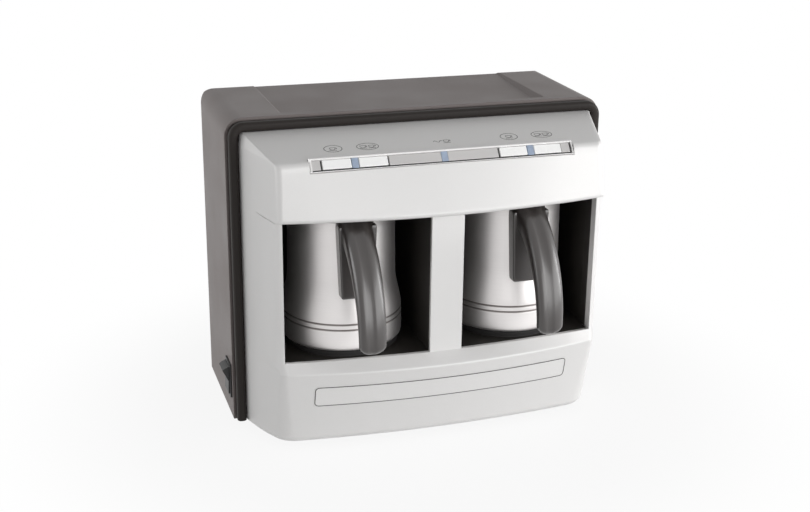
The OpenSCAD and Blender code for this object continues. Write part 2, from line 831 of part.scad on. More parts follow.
module cup_button(i) color([0.97, 0.97, 0.97]) place() on_strip()
    translate([button_places[i], 0, 0]) {
        translate([0, 0, -button_d - cap_sink + 0.1]) linear_extrude(button_d)
            square([button_l - 0.1, channel_h - 2 * slide_gap], center = true);
        for (s = concat([0], stem_places))
            translate([s, 0, s == 0 ? plunger_top : -strip_d - 1.5])
                cylinder(r = stem_r, h = (s == 0 ? -plunger_top : strip_d + 1.5) - button_d);
    }

plunger_top = board_front + tact_h + plunger_h - 0.9;
plunger_bottom = board_front + 0.6;

module switch_plunger(i) color([0.2, 0.2, 0.2]) place() on_strip()
    translate([button_places[i], 0, plunger_bottom])
        cylinder(r = 1.5, h = plunger_top - 0.05 - plunger_bottom);

module tact_switches() color([0.15, 0.15, 0.16]) place() on_strip()
    for (x = button_places) translate([x, 0, 0]) difference() {
        translate([-3, -3, board_front]) cube([6, 6, tact_h - 0.9]);
        translate([0, 0, board_front - 1]) cylinder(r = 1.56, h = tact_h + 1);
    }

module indicator_lamps() color([0.9, 0.95, 1]) place() on_strip()
    for (x = [-group_x, 0, group_x]) translate([x, 0, board_front]) {
        cylinder(r = 1.5, h = board_gap - 1.2);
        cylinder(r = 1.9, h = 0.8);
    }

module control_board() color([0.1, 0.4, 0.22]) place() on_strip()
    difference() {
        translate([-strip_l / 2 + 3, -6, board_front - board_t])
            cube([strip_l - 6, 12, board_t]);
        for (x = button_places)
            translate([x, 0, board_front - board_t - 1]) cylinder(r = 1.7, h = 5);
        for (x = post_places)
            translate([x, 0, board_front - board_t - 1]) cylinder(r = 1.2, h = 5);
    }

module control_screws() color([0.7, 0.7, 0.72]) place() on_strip()
    for (x = post_places) translate([x, 0, board_front - board_t]) {
        translate([0, 0, -1.4]) cylinder(r = 2.2, h = 1.4);
        cylinder(r = 0.9, h = 5);
    }

buzzer_r = 4.4;
buzzer_h = 4;
buzzer_x = 24;

module buzzer() color([0.12, 0.12, 0.12]) place() on_strip()
    translate([buzzer_x, 6 - buzzer_r, board_front - board_t - buzzer_h]) difference() {
        cylinder(r = buzzer_r, h = buzzer_h);
        translate([0, 0, -1]) cylinder(r = 1, h = 3);
    }

// ---------------------------------------------------------------- mains switch

module switch_body() color([0.07, 0.07, 0.07]) place()
    translate([-casing_w / 2, switch_y, switch_z]) difference() {
        union() {
            translate([-bezel_t, 0, 0]) rotate([90, 0, 90]) linear_extrude(bezel_t)
                round_rect(switch_w, switch_h, 2);
            translate([0, -switch_cut_w / 2, -switch_cut_h / 2])
                cube([22, switch_cut_w, switch_cut_h]);
        }
        translate([-bezel_t - 1, -rocker_w / 2 - slide_gap, -rocker_r - fit_gap])
            cube([bezel_t + 1 + rocker_room, rocker_w + 2 * slide_gap, 2 * (rocker_r + fit_gap)]);
        translate([rocker_axis_x + casing_w / 2, 0, 0]) rotate([90, 0, 0])
            cylinder(r = rocker_pin_r, h = rocker_w + 2 * slide_gap + 2, center = true);
    }

module rocker_pin() color([0.75, 0.75, 0.77]) place()
    translate([rocker_axis_x, switch_y, switch_z]) rotate([90, 0, 0])
        cylinder(r = rocker_pin_r, h = rocker_w + 2 * slide_gap + 1.8, center = true);

module rocker_paddle() color([0.05, 0.05, 0.05]) place()
    translate([rocker_axis_x, switch_y, switch_z]) rotate([0, -rocker_tilt, 0])
        difference() {
            rotate([90, 0, 0]) linear_extrude(rocker_w, center = true) intersection() {
                circle(rocker_r);
                polygon([
                    [-3.4, 0], [-rocker_tip_x, rocker_tip_z], [-rocker_tip_x, rocker_r],
                    [rocker_back, rocker_r], [rocker_back, -rocker_r], [-rocker_tip_x, -rocker_r],
                    [-rocker_tip_x, -rocker_tip_z]
                ]);
            }
            rotate([90, 0, 0]) cylinder(r = rocker_pin_r + 0.06, h = rocker_w + 2, center = true);
        }

module switch_terminals() color([0.8, 0.68, 0.35]) place()
    for (y = [-5, 5], z = [-7, 7])
        translate([-casing_w / 2 + 22, switch_y + y - 0.4, switch_z + z - 3.1]) cube([9, 0.8, 6.2]);

// ---------------------------------------------------------------- niches

tab_y1 = liner_post_y + 4;
tray_screw_r = tray_r + 4.5;
tray_screw_angles = [30, 150, 210, 330];

module niche_liner() color([0.07, 0.07, 0.07]) difference() {
    union() {
        liner_room(0);
        for (s = [-1, 1])
            translate([pot_x + s * liner_post_x - 5, liner_y1, liner_z0 - liner_t])
                cube([10, tab_y1 - liner_y1, liner_t]);
    }
    translate([liner_x0, -visor_reach, liner_z0])
        cube([liner_x1 - liner_x0, visor_reach + liner_y1, liner_z1 - liner_z0]);
    translate([pot_x, pot_y, liner_z0 - liner_t - 1])
        cylinder(r = plate_body_r + 0.4, h = liner_t + 2, $fn = 96);
    translate([pot_x, pot_y, liner_z1 - 1]) cylinder(r = 7, h = liner_t + 2);
    for (s = [-1, 1])
        translate([pot_x + s * liner_post_x, liner_post_y, liner_z0 - liner_t - 1])
            cylinder(r = 1.8, h = 6);
    for (a = tray_screw_angles)
        translate([pot_x + tray_screw_r * cos(a), pot_y + tray_screw_r * sin(a),
                   liner_z0 - liner_t - 1])
            cylinder(r = 1.3, h = 2.6);
}

module niche_liner_left() place() mirror([1, 0, 0]) niche_liner();
module niche_liner_right() place() niche_liner();

module liner_screws() color([0.7, 0.7, 0.72]) place()
    both_sides() for (s = [-1, 1])
        translate([pot_x + s * liner_post_x, liner_post_y, liner_z0]) {
            cylinder(r = 3, h = 1.6);
            translate([0, 0, -10]) cylinder(r = 1.3, h = 11);
        }

module plate_seals() color([0.75, 0.3, 0.2]) place()
    both_sides() translate([pot_x, pot_y, liner_z0]) difference() {
        cylinder(r = plate_r, h = seal_h, $fn = 96);
        translate([0, 0, -1]) cylinder(r = plate_body_r + 0.5, h = 5, $fn = 96);
    }

stud_r = 3;

module hot_plate() color([0.25, 0.25, 0.26]) translate([pot_x, pot_y, 0]) {
    rotate_extrude($fn = 96)
        polygon([
            [0, plate_under_z], [plate_body_r, plate_under_z], [plate_body_r, plate_rim_z],
            [plate_r, plate_rim_z], [plate_r, plate_top_z - 1], [plate_r - 1, plate_top_z],
            [0, plate_top_z]
        ]);
    translate([0, 0, tray_z0 - 6]) cylinder(r = stud_r, h = plate_under_z - tray_z0 + 7);
}

module hot_plate_left() place() mirror([1, 0, 0]) hot_plate();
module hot_plate_right() place() hot_plate();

coil_z = plate_under_z - coil_tube_r - 0.2;
clamp_bar_z = coil_z - coil_tube_r - 0.2;

module heater_elements() color([0.5, 0.5, 0.52]) place()
    both_sides() translate([pot_x, pot_y, 0]) {
        translate([0, 0, coil_z]) rotate([0, 0, -60]) rotate_extrude(angle = 300, $fn = 96)
            translate([coil_r, 0]) circle(coil_tube_r);
        for (a = [-60, 240])
            translate([coil_r * cos(a), coil_r * sin(a), tray_z0 - 10])
                cylinder(r = coil_tube_r - 0.4, h = coil_z - tray_z0 + 10);
    }

module heater_clamps() color([0.72, 0.72, 0.74]) place()
    both_sides() translate([pot_x, pot_y, 0]) difference() {
        union() {
            translate([-coil_r - 5, -6, clamp_bar_z - 1.5]) cube([2 * coil_r + 10, 12, 1.5]);
            translate([0, 0, tray_z0 + tray_t + 0.1])
                cylinder(r = stud_r + 2.2, h = clamp_bar_z - tray_z0 - tray_t - 1);
        }
        translate([0, 0, tray_z0 - 1]) cylinder(r = stud_r + 0.2, h = 30);
    }

module heat_trays() color([0.78, 0.78, 0.8]) place()
    both_sides() translate([pot_x, pot_y, 0]) difference() {
        top = liner_z0 - liner_t - 0.1;
        union() {
            for (a = tray_screw_angles) rotate([0, 0, a])
                translate([tray_r - tray_t, -4.5, top - tray_t])
                    cube([tray_screw_r - tray_r + tray_t + 4, 9, tray_t]);
            rotate_extrude($fn = 96) polygon([
                [0, tray_z0], [tray_r, tray_z0], [tray_r, top - tray_t],
                [tray_r + 2, top - tray_t], [tray_r + 2, top],
                [tray_r - tray_t, top], [tray_r - tray_t, tray_z0 + tray_t], [0, tray_z0 + tray_t]
            ]);
        }
        translate([0, 0, tray_z0 - 1]) cylinder(r = stud_r + 0.3, h = 4);
        for (a = [-60, 240])
            translate([coil_r * cos(a), coil_r * sin(a), tray_z0 - 1])
                cylinder(r = coil_tube_r + 0.6, h = 4);
        for (a = tray_screw_angles)
            translate([tray_screw_r * cos(a), tray_screw_r * sin(a), top - 3])
                cylinder(r = 1.5, h = 6);
    }

module tray_screws() color([0.7, 0.7, 0.72]) place()
    both_sides() for (a = tray_screw_angles)
        translate([pot_x + tray_screw_r * cos(a), pot_y + tray_screw_r * sin(a),
                   liner_z0 - liner_t - 0.1 - tray_t]) {
            translate([0, 0, -1.5]) cylinder(r = 2.6, h = 1.5);
            cylinder(r = 1.2, h = 2.3);
        }

module plate_nuts() color([0.75, 0.75, 0.77]) place()
    both_sides() translate([pot_x, pot_y, tray_z0 - 3.6]) difference() {
        cylinder(r = 5.4, h = 3.5, $fn = 6);
        translate([0, 0, -1]) cylinder(r = stud_r + 0.05, h = 6, $fn = 64);
    }

module temperature_sensors() color([0.85, 0.85, 0.87]) place()
    both_sides() translate([pot_x + 14, pot_y, clamp_bar_z + 0.1])
        cylinder(r = 3.5, h = plate_under_z - clamp_bar_z - 0.2);

module thermal_fuses() color([0.8, 0.75, 0.6]) place()
    both_sides() translate([pot_x - 20, pot_y, clamp_bar_z + 2.15]) rotate([0, 90, 0])
        cylinder(r = 2, h = 10);

// ---------------------------------------------------------------- foam sensors

foam_z = liner_z1 + liner_t;

module foam_sensors() color([0.12, 0.12, 0.12]) place()
    both_sides() translate([pot_x, pot_y, 0]) difference() {
        union() {
            translate([0, 0, liner_z1 - 0.4]) cylinder(r = 6.8, h = liner_t + 1);
            translate([0, 0, foam_z + 0.05]) cylinder(r = 9, h = 2);
            translate([0, 0, foam_z + 1]) cylinder(r = 7.5, h = 8);
        }
        translate([0, 0, liner_z1 - 2]) cylinder(r = 4.6, h = 6);
    }

module foam_sensor_lenses() color([0.35, 0.05, 0.1]) place()
    both_sides() translate([pot_x, pot_y, liner_z1 - 0.3]) cylinder(r = 4.4, h = 4.2);

module foam_sensor_boards() color([0.1, 0.4, 0.22]) place()
    both_sides() translate([pot_x - 12, pot_y - 9, foam_z + 9.05]) cube([24, 18, 1.4]);

// ---------------------------------------------------------------- power board

module power_board() color([0.12, 0.42, 0.2]) place()
    difference() {
        translate([-power_x, power_y0, power_z]) cube([2 * power_x, power_y1 - power_y0, 1.5]);
        for (x = [-1, 1], y = [power_y0 + 4, power_y1 - 4])
            translate([x * (power_x - 5), y, power_z - 1]) cylinder(r = 1.6, h = 4);
    }

module power_board_screws() color([0.7, 0.7, 0.72]) place()
    for (x = [-1, 1], y = [power_y0 + 4, power_y1 - 4])
        translate([x * (power_x - 5), y, power_z + 1.5]) {
            cylinder(r = 2.8, h = 1.6);
            translate([0, 0, -8]) cylinder(r = 1.2, h = 8.5);
        }

// Width and height of the transformer, the relays and the suppression capacitor
transformer = [44, 34];
relay = [15, 16];
capacitor = [24, 15];
part_gap = 14;
power_l = power_y1 - power_y0;

// Transformer, two relays and a suppression capacitor
module power_parts() color([0.25, 0.25, 0.28]) place()
    translate([0, power_y0, power_z + 1.55]) {
        difference() {
            translate([-1.5 * transformer[0], part_gap, 0])
                cube([transformer[0], power_l - part_gap - 12, transformer[1]]);
            for (y = [0.37, 0.58])
                translate([-1.5 * transformer[0] - 2, y * power_l, 0.24 * transformer[1]])
                    cube([transformer[0] + 4, 0.08 * power_l, 0.53 * transformer[1]]);
        }
        for (x = [part_gap, part_gap + relay[0] + 5])
            translate([x, 2 * part_gap - 2, 0])
                cube([relay[0], power_l - 2 * part_gap - 8, relay[1]]);
        translate([part_gap, 6, 0]) cube([capacitor[0], 10, capacitor[1]]);
    }

ribbon_w = 14;

// Flat cable from the control board down between the niches to the power board
module ribbon_cable() color([0.75, 0.75, 0.75]) place() {
    t = 1.2;
    a = board_front - board_t;
    top_y = strip_y - a * cos(strip_lean);
    top_z = strip_z + a * sin(strip_lean);
    drop_y = liner_post_y + 3;
    along_x(-ribbon_w / 2, ribbon_w / 2)
        polygon([
            [top_y + 0.5, top_z - 1], [top_y + 8, top_z - 6], [drop_y, top_z - 6],
            [drop_y, power_z + 5], [power_y0 + 3, power_z + 1.55],
            [power_y0 + 4.5, power_z + 1.55], [drop_y + t, power_z + 6],
            [drop_y + t, top_z - 6 + t], [top_y + 8, top_z - 6 + t], [top_y + 1.1, top_z + 1]
        ]);
}

// ---------------------------------------------------------------- pots

blend_z0 = 20;
blend_z1 = 54;
lip_flare = 1.8;
groove_zs = [18, 22.5];

// Outer radius of a pot at a height above its bottom
function pot_radius(z) =
    z < blend_z0 ? pot_r - 0.6 :
    z < blend_z1 ? pot_neck_r + 0.6 + (pot_r - 1.2 - pot_neck_r)
        * (1 + cos(180 * (z - blend_z0) / (blend_z1 - blend_z0))) / 2 :
    z < pot_h - 9 ? pot_neck_r + 0.6 - 0.6 * (z - blend_z1) / (pot_h - 9 - blend_z1) :
    pot_neck_r + lip_flare * pow((z - pot_h + 9) / 9, 2);

pot_zs = concat(
    [for (i = [1:9]) blend_z0 + (blend_z1 - blend_z0) * i / 9],
    [pot_h - 9, pot_h - 6, pot_h - 3, pot_h]
);

spout_r = 8;

// Leans the pouring spout out of the neck
module spout() {
    translate([spout_r - pot_neck_r - 0.5, 0, pot_h - 17]) rotate([0, -18, 0]) children();
}

module pot_body() color([0.8, 0.8, 0.8]) difference() {
    union() {
        rotate_extrude($fn = 96)
            polygon(concat(
                [[0, 0], [pot_r - 3, 0], [pot_r - 0.8, 1.2], [pot_r, 3.4], [pot_r, 14],
                 [pot_r - 0.2, groove_zs[0] - 0.9], [pot_r - 1.1, groove_zs[0]],
                 [pot_r - 0.4, groove_zs[0] + 0.9], [pot_r - 0.5, groove_zs[1] - 0.9],
                 [pot_r - 1.5, groove_zs[1]]],
                [for (z = pot_zs) [pot_radius(z), z]],
                [[0, pot_h]]
            ));
        // Pouring spout on the pot's side
        spout() cylinder(r = spout_r, h = 40);
    }
    rotate_extrude($fn = 96)
        polygon(concat(
            [[0, pot_base_t], [pot_r - 5, pot_base_t], [pot_r - 2.4, pot_base_t + 2.6],
             [pot_r - 2.4, groove_zs[1] + 1]],
            [for (z = pot_zs) [pot_radius(z) - pot_t - (z < blend_z0 + 6 ? 0.9 : 0), z]],
            [[pot_radius(pot_h) - pot_t, pot_h + 1], [0, pot_h + 1]]
        ));
    spout() cylinder(r = spout_r - pot_t, h = 40);
    translate([-pot_d, -pot_d, pot_h]) cube([2 * pot_d, 2 * pot_d, 60]);
}

module pot_left() place() translate([-pot_x, pot_y, pot_z]) pot_body();
module pot_right() place() translate([pot_x, pot_y, pot_z]) pot_body();

// Half width and half thickness of the handle's section at a share of its length
function handle_half_w(t) = handle_w / 2 * (1.06 - 0.12 * t) * handle_end(t);
function handle_half_t(t) = (handle_t / 2 + (handle_root_t - handle_t) / 2
    * pow(1 - t, 1.5)) * handle_end(t);
// Rounds the tip off
function handle_end(t) = t < 0.94 ? 1 : sqrt(max(0.04, 1 - pow((t - 0.94) / 0.06, 2)));

section_points = 20;

// Shares of the grip's length at which it has a section
handle_ts = concat([for (j = [0:15]) 0.94 * j / 15], [0.955, 0.97, 0.982, 0.991, 0.997, 1]);

// Rounded section: point number k of a squared oval
function oval(k, a, b) =
    let (w = 360 * k / section_points, c = cos(w), s = sin(w))
    [a * sign(c) * pow(abs(c), 0.7), b * sign(s) * pow(abs(s), 0.7)];

// Grip swept along its arc, from the block at the top down to the tip
module handle_grip() {
    rings = [for (t = handle_ts)
        let (a = handle_root_a + (handle_tip_a - handle_root_a) * t)
        [for (k = [0:section_points - 1])
            let (p = oval(k, handle_half_w(t), handle_half_t(t)),
                 r = handle_arc_r + p[1])
            [p[0], handle_cy - pot_y - r * cos(a), handle_cz - pot_z + r * sin(a)]]];
    loft(rings);
}

module pot_handle() color([0.17, 0.16, 0.16]) difference() {
    union() {
        handle_grip();
        // Block that hugs the pot's neck, a little narrower at its foot
        translate([0, block_y0 - pot_y, 0]) rotate([90, 0, 0]) mirror([0, 0, 1])
            linear_extrude(block_out + 14)
                polygon([
                    [-block_w / 2 + 2, block_z1 - pot_z], [-block_w / 2, block_z1 - pot_z - 3],
                    [-block_w / 2 + 2, block_z0 - pot_z + 2], [-block_w / 2 + 4, block_z0 - pot_z],
                    [block_w / 2 - 4, block_z0 - pot_z], [block_w / 2 - 2, block_z0 - pot_z + 2],
                    [block_w / 2, block_z1 - pot_z - 3], [block_w / 2 - 2, block_z1 - pot_z]
                ]);
    }
    // Seat round the pot's outside
    rotate_extrude($fn = 96)
        polygon(concat(
            [[0, 10]],
            [for (z = concat([10, blend_z0], pot_zs)) [pot_radius(z) + seat_gap, z]],
            [[0, pot_h]]
        ));
    translate([-60, -200, block_z1 - pot_z]) cube([120, 260, 60]);
    // Stud sockets
    for (z = stud_zs)
        translate([0, -pot_neck_r + 3, z]) rotate([90, 0, 0]) cylinder(r = 2.6, h = 8.2);
}

stud_zs = [pot_h - 18, pot_h - 44];
seat_gap = 0.15;

// Welded studs that hold the handle on the pot
module handle_studs() color([0.75, 0.75, 0.77]) difference() {
    for (z = stud_zs)
        translate([0, -pot_neck_r + 3, z]) rotate([90, 0, 0]) cylinder(r = 2.5, h = 8);
    rotate_extrude($fn = 96)
        polygon(concat(
            [[0, 10]],
            [for (z = concat([10, blend_z0], pot_zs)) [pot_radius(z) + 0.02, z]],
            [[0, pot_h]]
        ));
}

module pot_handle_left() place() translate([-pot_x, pot_y, pot_z]) pot_handle();
module pot_handle_right() place() translate([pot_x, pot_y, pot_z]) pot_handle();
module handle_studs_left() place() translate([-pot_x, pot_y, pot_z]) handle_studs();
module handle_studs_right() place() translate([pot_x, pot_y, pot_z]) handle_studs();

// ---------------------------------------------------------------- nodes

rear_casing();
bead_frame();
front_panel();
base_plate();
rubber_feet();
casing_screws();
panel_screws();
badge_plate();
cord_gland();
cord_clamp();
cord_clamp_screws();
terminal_block();
strip_frame();
strip_end_caps();
strip_center_bar();
light_windows();
cup_button(0);  // cup_button_1
cup_button(1);  // cup_button_2
cup_button(2);  // cup_button_3
cup_button(3);  // cup_button_4
switch_plunger(0);  // switch_plunger_1
switch_plunger(1);  // switch_plunger_2
switch_plunger(2);  // switch_plunger_3
switch_plunger(3);  // switch_plunger_4
tact_switches();
indicator_lamps();
control_board();
control_screws();
buzzer();
switch_body();
rocker_paddle();
rocker_pin();
switch_terminals();
niche_liner_left();
niche_liner_right();
liner_screws();
plate_seals();
hot_plate_left();
hot_plate_right();
heater_elements();
heater_clamps();
heat_trays();
tray_screws();
plate_nuts();
temperature_sensors();
thermal_fuses();
foam_sensors();
foam_sensor_lenses();
foam_sensor_boards();
power_board();
power_board_screws();
power_parts();
ribbon_cable();
pot_left();
pot_right();
pot_handle_left();
pot_handle_right();
handle_studs_left();
handle_studs_right();
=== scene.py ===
"""Looks of a countertop electric Turkish coffee maker with two removable pots."""

import json
import logging
import math
from collections.abc import Callable
from dataclasses import dataclass, field
from enum import Enum, unique
from typing import ClassVar

import bmesh
import bpy
from mathutils import Matrix, Vector

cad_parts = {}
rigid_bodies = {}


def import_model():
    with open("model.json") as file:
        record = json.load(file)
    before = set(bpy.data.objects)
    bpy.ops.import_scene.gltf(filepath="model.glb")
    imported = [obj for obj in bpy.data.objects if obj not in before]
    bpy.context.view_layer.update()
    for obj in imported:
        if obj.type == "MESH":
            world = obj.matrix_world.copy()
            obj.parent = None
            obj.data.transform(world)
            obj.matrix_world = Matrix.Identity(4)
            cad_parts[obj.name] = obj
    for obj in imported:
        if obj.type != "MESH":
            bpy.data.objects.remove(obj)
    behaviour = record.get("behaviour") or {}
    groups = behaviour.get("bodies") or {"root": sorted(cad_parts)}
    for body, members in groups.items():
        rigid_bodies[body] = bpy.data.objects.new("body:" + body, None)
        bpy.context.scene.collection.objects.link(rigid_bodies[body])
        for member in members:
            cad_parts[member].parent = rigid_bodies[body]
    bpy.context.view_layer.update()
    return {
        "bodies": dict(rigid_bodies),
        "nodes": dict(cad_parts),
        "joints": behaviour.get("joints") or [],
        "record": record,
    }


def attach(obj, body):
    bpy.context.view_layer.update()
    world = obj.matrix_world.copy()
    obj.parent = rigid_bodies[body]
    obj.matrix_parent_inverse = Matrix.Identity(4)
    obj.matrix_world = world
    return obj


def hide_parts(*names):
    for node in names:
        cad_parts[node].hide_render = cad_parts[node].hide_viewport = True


LOG = logging.getLogger("coffee_maker")

Colour = tuple[float, float, float, float]
Plan = tuple[float, float]
Point = tuple[float, float, float]
Socket = bpy.types.NodeSocket

# Sizes below are in millimetres in the maker's working frame: X to the right, Y to the
# back with 0 at the bead, Z up from the table. SHIFT moves them to the row frame.
MM = 0.001
SHIFT = Vector((3.5506, -4.75, 0.0))
# Lengths that count as nothing, slack for comparing places, and what the welding joins
TINY = 1e-6
SAME_POINT = 1e-4
SLACK = 0.01
WELD = 0.004
SLIVER = 0.002
# Half angle above which a corner is too flat to round, and the part of a side that a round
# corner may take, where the side's other end is round as well or not
FLAT = math.radians(88.0)
SHARED_SIDE = 0.45
FREE_SIDE = 0.92
# Height of the pots' bottom, and of their two turned lines above it
POT_Z = 85.0
TURNED_LINES = (18.0, 22.5)
# Lean of the control strip about X, middle of its face, and the ways up it and out of it
STRIP_LEAN = math.radians(52.0)
STRIP_MIDDLE = Vector((0.0, -60.6, 236.8))
STRIP_UP = Vector((0.0, math.cos(STRIP_LEAN), math.sin(STRIP_LEAN)))
STRIP_OUT = Vector((0.0, -math.sin(STRIP_LEAN), math.cos(STRIP_LEAN)))
STRIP_FRAME = Matrix.Translation(STRIP_MIDDLE) @ Matrix.Rotation(STRIP_LEAN, 4, "X")
WHITE = (1.0, 1.0, 1.0, 1.0)


def srgb(*channels: float) -> Colour:
    """Turns red, green and blue, 0 to 255 as seen on a screen, into a linear colour."""
    shares = [value / 255.0 for value in channels]
    return (*(s / 12.92 if s <= 0.04045 else ((s + 0.055) / 1.055) ** 2.4 for s in shares), 1.0)


def shaded(colour: Colour, share: float) -> Colour:
    """Multiplies a linear colour's channels by a share."""
    return (*(min(1.0, channel * share) for channel in colour[:3]), 1.0)


def turns(count: int) -> list[float]:
    """Angles all the way round in even steps, in radians."""
    return [2 * math.pi * i / count for i in range(count)]


def between(start: Plan, end: Plan, parts: int) -> list[Plan]:
    """Points that divide the way between two others into equal parts."""
    return [(start[0] + (end[0] - start[0]) * i / parts,
             start[1] + (end[1] - start[1]) * i / parts) for i in range(1, parts)]


def rounded(points: list[Vector], radii: list[float], steps: list[int]) -> list[Vector]:
    """Rounds the corners of a line of points.

    Args:
        points: The line's corners.
        radii: Radius at each corner; the ends' values aren't used.
        steps: How many points stand for each corner.

    Returns:
        The rounded line, with the same number of points whatever the radii are.
    """
    line = [points[0]]
    for index in range(1, len(points) - 1):
        here, count = points[index], steps[index]
        back, ahead = points[index - 1] - here, points[index + 1] - here
        tight = radii[index] < TINY or min(back.length, ahead.length) < TINY
        half = 0.0 if tight else back.angle(ahead) / 2
        if count == 1 or tight or half > FLAT:
            line += [here.copy() for _ in range(count)]
            continue
        room = [SHARED_SIDE if radii[index + side] > 0 else FREE_SIDE for side in (-1, 1)]
        reach = min(radii[index] / math.tan(half), room[0] * back.length,
                    room[1] * ahead.length)
        radius = reach * math.tan(half)
        middle = (back.normalized() + ahead.normalized()).normalized()
        centre = here + middle * (radius / math.sin(half))
        start = here + back.normalized() * reach - centre
        end = here + ahead.normalized() * reach - centre
        sweep = start.angle(end)
        for step in range(count):
            share = step / (count - 1)
            line.append(centre + (start * math.sin((1 - share) * sweep)
                                  + end * math.sin(share * sweep)) / math.sin(sweep))
    line.append(points[-1])
    return line


def round_loop(half_x: float, half_y: float, radius: float, arc: int = 6,
               parts: int = 24) -> list[Plan]:
    """Rounds a rectangle and divides its straight sides.

    Args:
        half_x, half_y: Half of its length and height.
        radius: Radius of the corners.
        arc: Points per corner.
        parts: Divisions of each straight side.

    Returns:
        Points of the closed loop, anticlockwise.
    """
    loop: list[Plan] = []
    for way_x, way_y, start in ((1, -1, -90), (1, 1, 0), (-1, 1, 90), (-1, -1, 180)):
        angles = [math.radians(start + 90 * i / (arc - 1)) for i in range(arc)]
        corner = [(way_x * (half_x - radius) + radius * math.cos(angle),
                   way_y * (half_y - radius) + radius * math.sin(angle)) for angle in angles]
        loop += (between(loop[-1], corner[0], parts) if loop else []) + corner
    return loop + between(loop[-1], loop[0], parts)


def show(name: str, data: bpy.types.ID) -> bpy.types.Object:
    """Makes an object and puts it in the scene."""
    thing = bpy.data.objects.new(name, data)
    bpy.context.scene.collection.objects.link(thing)
    return thing


class Form:
    """Collects the faces of one piece, in the working frame, and makes its object."""

    def __init__(self) -> None:
        """Starts with nothing."""
        self.mesh = bmesh.new()

    def face(self, points: list[Vector]) -> None:
        """Adds one face, unless its points fall together."""
        kept = [p for i, p in enumerate(points) if (p - points[i - 1]).length > SAME_POINT]
        if len(kept) >= 3:
            self.mesh.faces.new([self.mesh.verts.new(p) for p in kept])

    def grid(self, rows: list[list[Vector]], keep: Callable[[Vector], bool] | None = None,
             closed: bool = False) -> None:
        """Adds the cells of a grid of points.

        Args:
            rows: Lines of points, all of one length.
            keep: Says from a cell's middle whether the cell is made.
            closed: Joins each line's end to its start.
        """
        count = len(rows[0])
        for lower, upper in zip(rows, rows[1:]):
            for i in range(count if closed else count - 1):
                k = (i + 1) % count
                cell = [lower[i], lower[k], upper[k], upper[i]]
                if keep is None or keep((cell[0] + cell[1] + cell[2] + cell[3]) / 4):
                    self.face(cell)

    def strip(self, line: list[Vector], *moves: Vector) -> None:
        """Draws a line of points out along one or more moves."""
        rows = [line]
        for move in moves:
            rows.append([p + move for p in rows[-1]])
        self.grid(rows)

    def loop(self, rings: list[list[Vector]]) -> None:
        """Adds a skin through rings of points, from the last on to the first again."""
        self.grid(rings + [rings[0]], closed=True)

    def loft(self, rings: list[list[Vector]]) -> None:
        """Adds a closed skin through rings of points, with both ends filled."""
        self.grid(rings, closed=True)
        self.face(rings[0][::-1])
        self.face(rings[-1])

    def box(self, low: Point, high: Point, turn: Matrix | None = None) -> None:
        """Adds a box between two corners, in another frame if turn is given."""
        rings = [[Vector((x, y, z)) for x, y in ((low[0], low[1]), (high[0], low[1]),
                                                 (high[0], high[1]), (low[0], high[1]))]
                 for z in (low[2], high[2])]
        self.loft([[turn @ p for p in ring] if turn else ring for ring in rings])

    def rod(self, foot: Vector, head: Vector, radius: float, sides: int = 24) -> None:
        """Adds a round rod between two points."""
        axis = (head - foot).normalized()
        side = axis.orthogonal().normalized()
        spokes = [side * math.cos(angle) + axis.cross(side) * math.sin(angle)
                  for angle in turns(sides)]
        self.loft([[end + spoke * radius for spoke in spokes] for end in (foot, head)])

    def finish(self, name: str, shop: "Workshop", finish: "Finishes", replaced: str = "",
               body: str = "machine", bevel: float = 0.0, sharp: float = 32.0,
               wall: float = 0.0) -> None:
        """Welds the faces and makes the piece.

        Args:
            name: Name of the piece.
            shop: Holds the materials.
            finish: Finish of the piece.
            replaced: CAD node that the piece stands for, if any.
            body: Body that the piece rides on.
            bevel: Width of a bevel on sharp edges, or 0 for none.
            sharp: Angle in degrees above which an edge stays sharp.
            wall: Thickness of an open skin's wall, or 0 for a closed form.
        """
        bmesh.ops.remove_doubles(self.mesh, verts=self.mesh.verts, dist=WELD)
        bmesh.ops.dissolve_degenerate(self.mesh, dist=SLIVER, edges=self.mesh.edges)
        bmesh.ops.recalc_face_normals(self.mesh, faces=self.mesh.faces)
        for vertex in self.mesh.verts:
            vertex.co = (vertex.co + SHIFT) * MM
        data = bpy.data.meshes.new(name)
        self.mesh.to_mesh(data)
        self.mesh.free()
        data.shade_smooth()
        data.set_sharp_from_angle(angle=math.radians(sharp))
        data.materials.append(shop.material(finish))
        piece = show(name, data)
        if wall > 0:
            inward = piece.modifiers.new("wall", "SOLIDIFY")
            inward.thickness = wall * MM
            inward.offset = -1.0
        if bevel > 0:
            edges = piece.modifiers.new("edges", "BEVEL")
            edges.width = bevel * MM
            edges.segments = 3
            edges.limit_method = "ANGLE"
            edges.angle_limit = math.radians(sharp)
            edges.harden_normals = True
        piece.modifiers.new("weighted", "WEIGHTED_NORMAL").keep_sharp = True
        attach(piece, body)
        if replaced:
            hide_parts(replaced)
        LOG.info("built %s", name)


